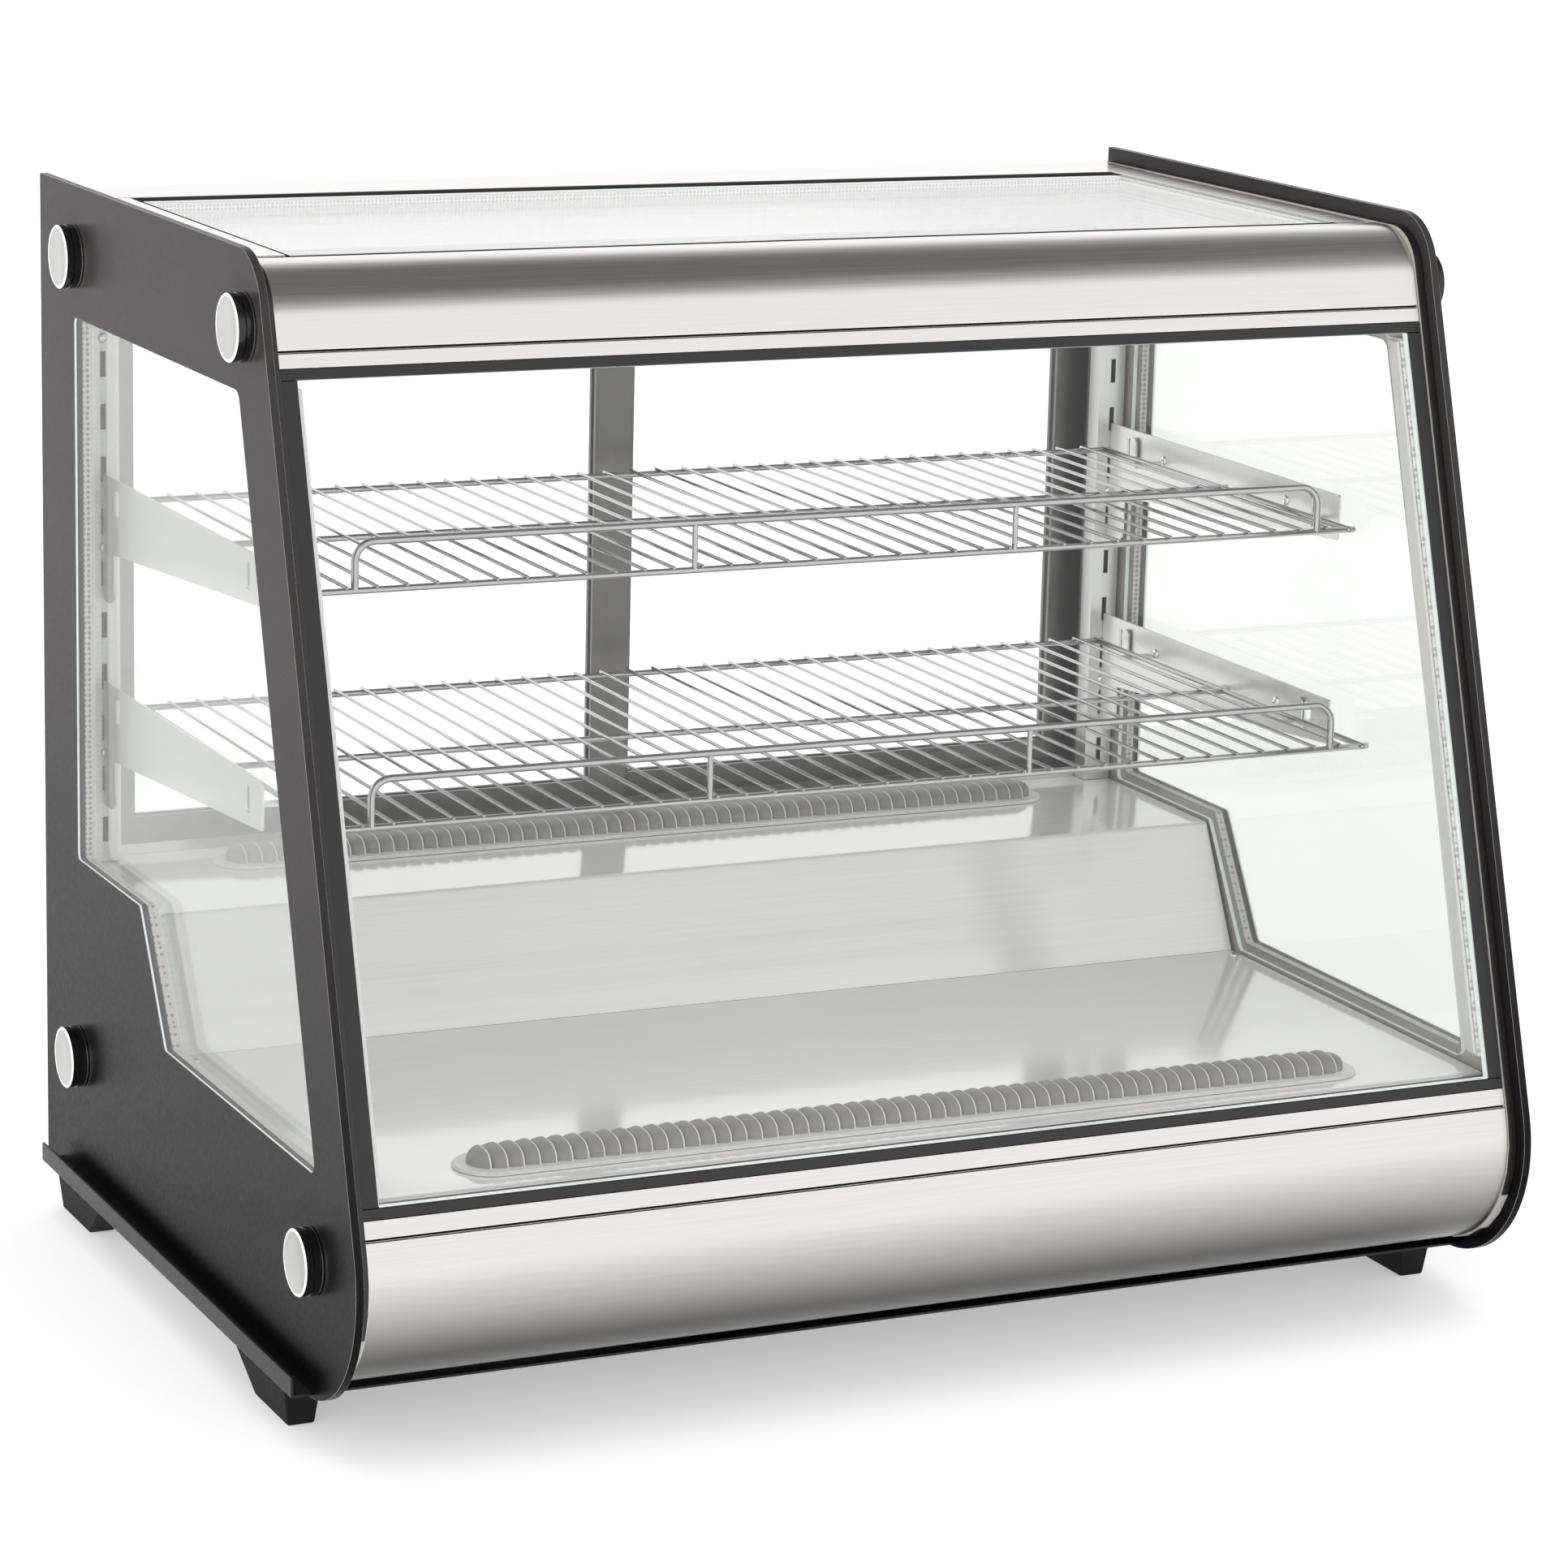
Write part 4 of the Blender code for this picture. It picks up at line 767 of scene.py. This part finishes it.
def make_brackets():
    """The brackets, with the round-topped tabs and pressed dimples on their inner faces."""
    inner = SLOT_X - SHEET / 2
    for side, word in SIDES:
        for level in ("upper", "lower"):
            node = f"bracket_{level}_{word}"
            refined(node, "aluminium", 0.00025)
            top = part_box(node)[1].z
            low, high = top - TAB_FOOT, top - TAB_TOP
            tabs = bmesh.new()
            for middle in TABS:
                rear, front = middle - TAB_HALF, middle + TAB_HALF
                tab = rounded([(rear, low), (rear, high), (front, high), (front, low)],
                              [0.001, 0.0044, 0.0044, 0.001])
                across(tab, span(side, inner - 0.0026, inner - 0.0012), bm=tabs)
                rear, front = middle - TAB_STEM_HALF, middle + TAB_STEM_HALF
                stem = [(rear, low), (rear, low + TAB_STEM), (front, low + TAB_STEM), (front, low)]
                across(stem, span(side, inner - 0.0020, inner + 0.0003), bm=tabs)
            piece(f"bracket_tabs_{level}_{word}", tabs, "aluminium", slot="aluminium", bevel=0.0002)
            dimples = bmesh.new()
            for middle in DIMPLES:
                place = turned(side * inner, middle, top - DIMPLE_DROP, (-side, 0, 0))
                lathe(DIMPLE_SHAPE, 20, place, dimples)
            piece(f"bracket_dimples_{level}_{word}", dimples, "bright_rim", slot="aluminium")


ROD, WIRE, GUARD_BAR = 0.0020, 0.0012, 0.0023
WELD, GUARD_HALF, GUARD_BEND, GUARD_RISE, SIDE_ROD = 0.0007, 0.3265, 0.012, 0.029, 0.350
WIRE_TIP, ROD_TIP = 0.001, 0.0012


def make_shelf(word):
    """A welded wire shelf of round bars: wires on rods, and a guard rail bent up along the front."""
    node = f"wire_shelf_{word}"
    low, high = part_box(node)
    rail, half = low.z + ROD, high.x
    rear, front = REAR_Y - high.y + 0.0035, REAR_Y - low.y - 0.0042
    wire = rail + ROD + WIRE - WELD
    bm = bmesh.new()
    for index in range(WIRES):
        x = WIRE_PITCH * (index - (WIRES - 1) / 2)
        tube([(x, rear - 0.0035, wire), (x, front + 0.004, wire)], WIRE, 10, bm, tips=WIRE_TIP)
    for d in (rear, (rear + front) / 2, front):
        tube([(-half, d, rail), (half, d, rail)], ROD, 14, bm, tips=ROD_TIP)
    for x in (-SIDE_ROD, SIDE_ROD):
        tube([(x, rear - 0.0035, rail + 0.0003), (x, front + 0.0035, rail + 0.0003)], ROD * 0.95, 14, bm,
             tips=ROD_TIP)
    top = rail + GUARD_RISE
    arc = [math.pi / 2 * step / 8 for step in range(9)]
    bend = [(GUARD_HALF - GUARD_BEND + GUARD_BEND * math.cos(a), top - GUARD_BEND + GUARD_BEND * math.sin(a))
            for a in arc]
    ends = [(GUARD_HALF, rail)] + bend
    guard = [(x, front, z) for x, z in ends] + [(-x, front, z) for x, z in reversed(ends)]
    tube(guard, GUARD_BAR, 14, bm)
    for x in (-GUARD_HALF / 3, GUARD_HALF / 3):
        tube([(x, front + 0.0002, rail), (x, front + 0.0002, top)], ROD * 0.9, 12, bm)
    piece(node + "_look", bm, "chrome", node=node, smooth=60)


# --- decks and vents ------------------------------------------------------------------------------
def folded(corners, bends):
    """A sheet's outline: its upper line with round bends, and the same line a sheet lower."""
    outer = rounded(corners, bends, 8)
    inner = [(outer[0][0], outer[0][1] - SHEET)] + inner_line(outer, SHEET)
    last, before = Vector(outer[-1]), Vector(outer[-2])
    along = (last - before).normalized()
    inner.append((last.x + along.y * SHEET, last.y - along.x * SHEET))
    return outer + inner[::-1]


def make_decks():
    """Folded decks with round bends, open under their vents, and the screws that hold the riser."""
    rear, riser_foot = depths_of("rear_deck")
    front, lip = depths_of("front_deck")[1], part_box("front_deck")[0].z
    rear_fold = folded([(rear, REAR_DECK), (DECK_BREAK, REAR_DECK), (riser_foot, FRONT_DECK)], [0, 0.004, 0])
    front_fold = folded([(riser_foot + 0.0003, FRONT_DECK), (front, FRONT_DECK), (front, lip)],
                        [0, 0.0025, 0])
    for word, fold, vent, z in (("rear", rear_fold, REAR_VENT, (0.2, 0.3)),
                                ("front", front_fold, FRONT_VENT, (0.12, 0.2))):
        made = piece(f"{word}_deck_look", across(fold, (-ROOM_HALF, ROOM_HALF)), "deck_steel",
                     node=f"{word}_deck", bevel=0.0002)
        cut(made, upward(stadium(*VENT_HOLE, vent), z))
    for side, word in SIDES:
        x, d = DECK_SCREW
        screw(f"deck_screw_{word}", turned(side * x, d, FRONT_DECK, (0, 0, 1)), 0.003)


HOODS, HOOD_PITCH = 58, 0.0102
HOOD_SHAPE = ((0.0, 0.72), (0.22, 0.86), (0.45, 0.94), (0.70, 0.99), (0.84, 1.0), (0.90, 1.0), (1.0, 0.97))


def make_vent(word):
    """A moulded grille: a stadium flange with a raised rim, and a row of rounded hoods that overlap."""
    node = f"vent_{word}"
    low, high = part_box(node)
    middle = REAR_Y - (low.y + high.y) / 2
    half, wide = high.x, (high.y - low.y) / 2
    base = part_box(f"{word}_deck")[1].z + 0.0003
    foot = base + 0.0019
    ridge_wide, rise, ridge_half = wide - 0.0075, high.z - foot, HOOD_PITCH * HOODS / 2
    bm = upward(stadium(half, wide, middle, 24), (base, base + 0.0012))
    upward(stadium(half - 0.0007, wide - 0.0007, middle, 24), (base + 0.001, base + 0.0022), bm=bm)
    piece(f"vent_flange_{word}", bm, "vent_rim", slot="vent_plastic", bevel=0.0004)

    hoods = bmesh.new()
    turns = [math.pi * step / 20 for step in range(21)]
    for index in range(HOODS):
        start = -ridge_half + HOOD_PITCH * index
        rings = []
        for share, size in HOOD_SHAPE:
            x = start + HOOD_PITCH * (0.02 + 0.96 * share)
            inside = max(abs(x) - (ridge_half - ridge_wide), 0.0)
            taper = math.sqrt(max(1 - (inside / ridge_wide) ** 2, 0.03))
            deep, tall = ridge_wide * taper * (0.35 + 0.65 * size), rise * size * taper ** 0.5
            bulge = [math.copysign(abs(math.cos(a)) ** 0.75, math.cos(a)) for a in turns]
            rings.append([hoods.verts.new((x, back(middle) - deep * out, foot + tall * math.sin(a) ** 0.85))
                          for a, out in zip(turns, bulge)])
        for first, second in zip(rings, rings[1:]):
            for step in range(len(turns)):
                after = (step + 1) % len(turns)
                face = hoods.faces.new((first[step], first[after], second[after], second[step]))
                # the last band of each hood, along its lip, takes finish 1 as a painted highlight
                face.material_index = 1 if first is rings[-2] else 0
        hoods.faces.new(rings[0])
        hoods.faces.new(rings[-1])
    piece(f"vent_{word}_look", hoods, ["vent_plastic", "vent_rim"], node=node, smooth=50)


# --- base, heat and rear --------------------------------------------------------------------------
def make_base():
    """The black tray under the case and its four feet."""
    refined("base_tray", "black_sheet", 0.0007)
    for _, word in SIDES:
        for end in ("front", "rear"):
            refined(f"foot_{end}_{word}", "rubber", 0.0015, segments=3)


def make_heat():
    """The heating element and the fan under the rear deck."""
    refined("heater_element", "heater_sheath", 0.0)
    refined("fan_impeller", "black_plastic", 0.0004)
    refined("fan_motor", "dark_anodised", 0.0006)


COVER_SCREWS, COVER_SCREW_INSET = (-0.370, -0.125, 0.125, 0.370), 0.009
SCALE_TICKS, SCALE_STEP, SCALE_RADIUS = 10, 30, 0.0235
BUTTON_PITCH, BUTTON_INSET = 0.0085, 0.016
BUTTON_SHAPE = ((0, -0.001, 0), (0.0028, -0.001, 0), (0.0028, 0.0008, 0), (0.0022, 0.0012, 0),
                (0, 0.0013, 0))


def make_rear():
    """The control panel: cover and its screws, knob with pointer and scale, rockers, inlet and display."""
    refined("rear_cover", "brushed_steel", 0.0003)
    low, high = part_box("rear_cover")
    cover, face = high.y, REAR_Y - high.y
    for index, x in enumerate(COVER_SCREWS):
        for level, z in (("low", low.z + COVER_SCREW_INSET), ("high", high.z - COVER_SCREW_INSET)):
            screw(f"cover_screw_{level}_{index + 1}", turned(x, face, z, (0, 1, 0)), 0.0032)

    refined("thermostat_knob", "black_plastic", 0.0004)
    low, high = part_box("thermostat_knob")
    knob = (low + high) / 2
    mark = slab((knob.x - 0.0007, knob.x + 0.0007), (high.y - 0.0034, high.y - 0.0004),
                (knob.z + 0.0035, knob.z + 0.0185))
    piece("knob_mark", mark, "white_mark", body="knob", slot="black_plastic", bevel=0.0002)
    ticks = bmesh.new()
    axis = Matrix.Translation((knob.x, cover + HAIR, knob.z))
    tick = Matrix.Translation((SCALE_RADIUS, 0, 0)) @ Matrix.Diagonal((0.0045, 0.0006, 0.0008, 1))
    for step in range(SCALE_TICKS):
        turn = Matrix.Rotation(math.radians(SCALE_STEP * step - 90), 4, "Y")
        bmesh.ops.create_cube(ticks, size=1, matrix=axis @ turn @ tick)
    piece("knob_scale", ticks, "black_print", slot="black_frame", bevel=0.0001)

    refined("power_switch", "red_rocker", 0.0005)
    refined("light_switch", "green_rocker", 0.0005)
    refined("power_inlet", "black_plastic", 0.0005)
    refined("temperature_display", "black_plastic", 0.0005)
    low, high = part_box("temperature_display")
    middle = (low.z + high.z) / 2
    window = slab((low.x + 0.030, high.x - 0.008), (high.y - 0.001, high.y + 0.0004),
                  (middle - 0.010, middle + 0.010))
    piece("display_window", window, "black_gloss", slot="black_plastic", bevel=0.0006, segments=3)
    buttons = bmesh.new()
    for z in (middle - BUTTON_PITCH, middle, middle + BUTTON_PITCH):
        place = turned(low.x + BUTTON_INSET, REAR_Y - high.y, z, (0, 1, 0))
        lathe(BUTTON_SHAPE, 20, place, buttons)
    piece("display_buttons", buttons, "vent_plastic", slot="black_plastic")


# --- floor, light and camera ----------------------------------------------------------------------
def make_floor():
    """A plain pale floor that reaches far past the case."""
    bm = bmesh.new()
    bmesh.ops.create_grid(bm, x_segments=1, y_segments=1, size=40)
    mesh = bpy.data.meshes.new("floor")
    bm.to_mesh(mesh)
    bm.free()
    mesh.materials.append(finish("floor"))
    floor = bpy.data.objects.new("floor", mesh)
    bpy.context.scene.collection.objects.link(floor)


SKY_STRENGTH = 1.28
SKY_STEPS = ((0.0, 1.0), (0.50, 1.0), (0.64, 0.45), (0.84, 0.15))
OVERHEAD_ANGLE, OVERHEAD_POWER = 65, 0.95


def make_sky():
    """A white studio all round with a darker ceiling, which the polished tops reflect."""
    world = bpy.data.worlds.new("studio")
    bpy.context.scene.world = world
    world.use_nodes = True
    tree = world.node_tree
    tree.nodes.clear()
    place = tree.nodes.new("ShaderNodeTexCoord")
    split = tree.nodes.new("ShaderNodeSeparateXYZ")
    ramp = tree.nodes.new("ShaderNodeValToRGB")
    light = tree.nodes.new("ShaderNodeBackground")
    output = tree.nodes.new("ShaderNodeOutputWorld")
    tree.links.new(place.outputs["Generated"], split.inputs["Vector"])
    tree.links.new(split.outputs["Z"], ramp.inputs["Fac"])
    tree.links.new(ramp.outputs["Color"], light.inputs["Color"])
    tree.links.new(light.outputs["Background"], output.inputs["Surface"])
    light.inputs["Strength"].default_value = SKY_STRENGTH
    ramp.color_ramp.elements.remove(ramp.color_ramp.elements[1])
    for index, (height, value) in enumerate(SKY_STEPS):
        stop = ramp.color_ramp.elements[0] if index == 0 else ramp.color_ramp.elements.new(height)
        stop.position = height
        stop.color = (value, value, value * 1.005, 1.0)


def make_lamp():
    """A soft light straight overhead, which lifts the floor and gives the shade under the case."""
    lamp = bpy.data.lights.new("overhead", "SUN")
    lamp.angle = math.radians(OVERHEAD_ANGLE)
    lamp.energy = OVERHEAD_POWER
    lamp.color = (1.0, 0.995, 0.985)
    holder = bpy.data.objects.new("overhead", lamp)
    holder.visible_glossy = False
    bpy.context.scene.collection.objects.link(holder)


CAMERA_PLACE = (-1.3346, -2.8266, 1.0476)
CAMERA_YAW, CAMERA_PITCH, CAMERA_ROLL = 25.3807, 13.1191, 1.46258
CAMERA_LENS = 115.36


def make_camera():
    """The camera: turned by yaw, tipped down by pitch, then rolled."""
    camera = bpy.data.cameras.new("camera")
    camera.lens = CAMERA_LENS
    camera.sensor_width = 36.0
    camera.clip_end = 200.0
    holder = bpy.data.objects.new("camera", camera)
    yaw, pitch, roll = (math.radians(turn) for turn in (CAMERA_YAW, CAMERA_PITCH, CAMERA_ROLL))
    turned_to = (Matrix.Rotation(-yaw, 4, "Z") @ Matrix.Rotation(math.pi / 2 - pitch, 4, "X")
                 @ Matrix.Rotation(roll, 4, "Z"))
    holder.matrix_world = Matrix.Translation(CAMERA_PLACE) @ turned_to
    bpy.context.scene.collection.objects.link(holder)
    bpy.context.scene.camera = holder


def main():
    """Builds every piece, then the floor, the light and the camera."""
    for side, word in SIDES:
        make_side(side, word)
    make_caps()
    make_fascias()
    make_front()
    make_roof()
    make_rear_frame()
    make_doors()
    make_brackets()
    make_shelf("upper")
    make_shelf("lower")
    make_decks()
    make_vent("rear")
    make_vent("front")
    make_base()
    make_heat()
    make_rear()
    make_floor()
    make_sky()
    make_lamp()
    make_camera()
    bpy.context.scene.view_settings.view_transform = "Standard"


main()
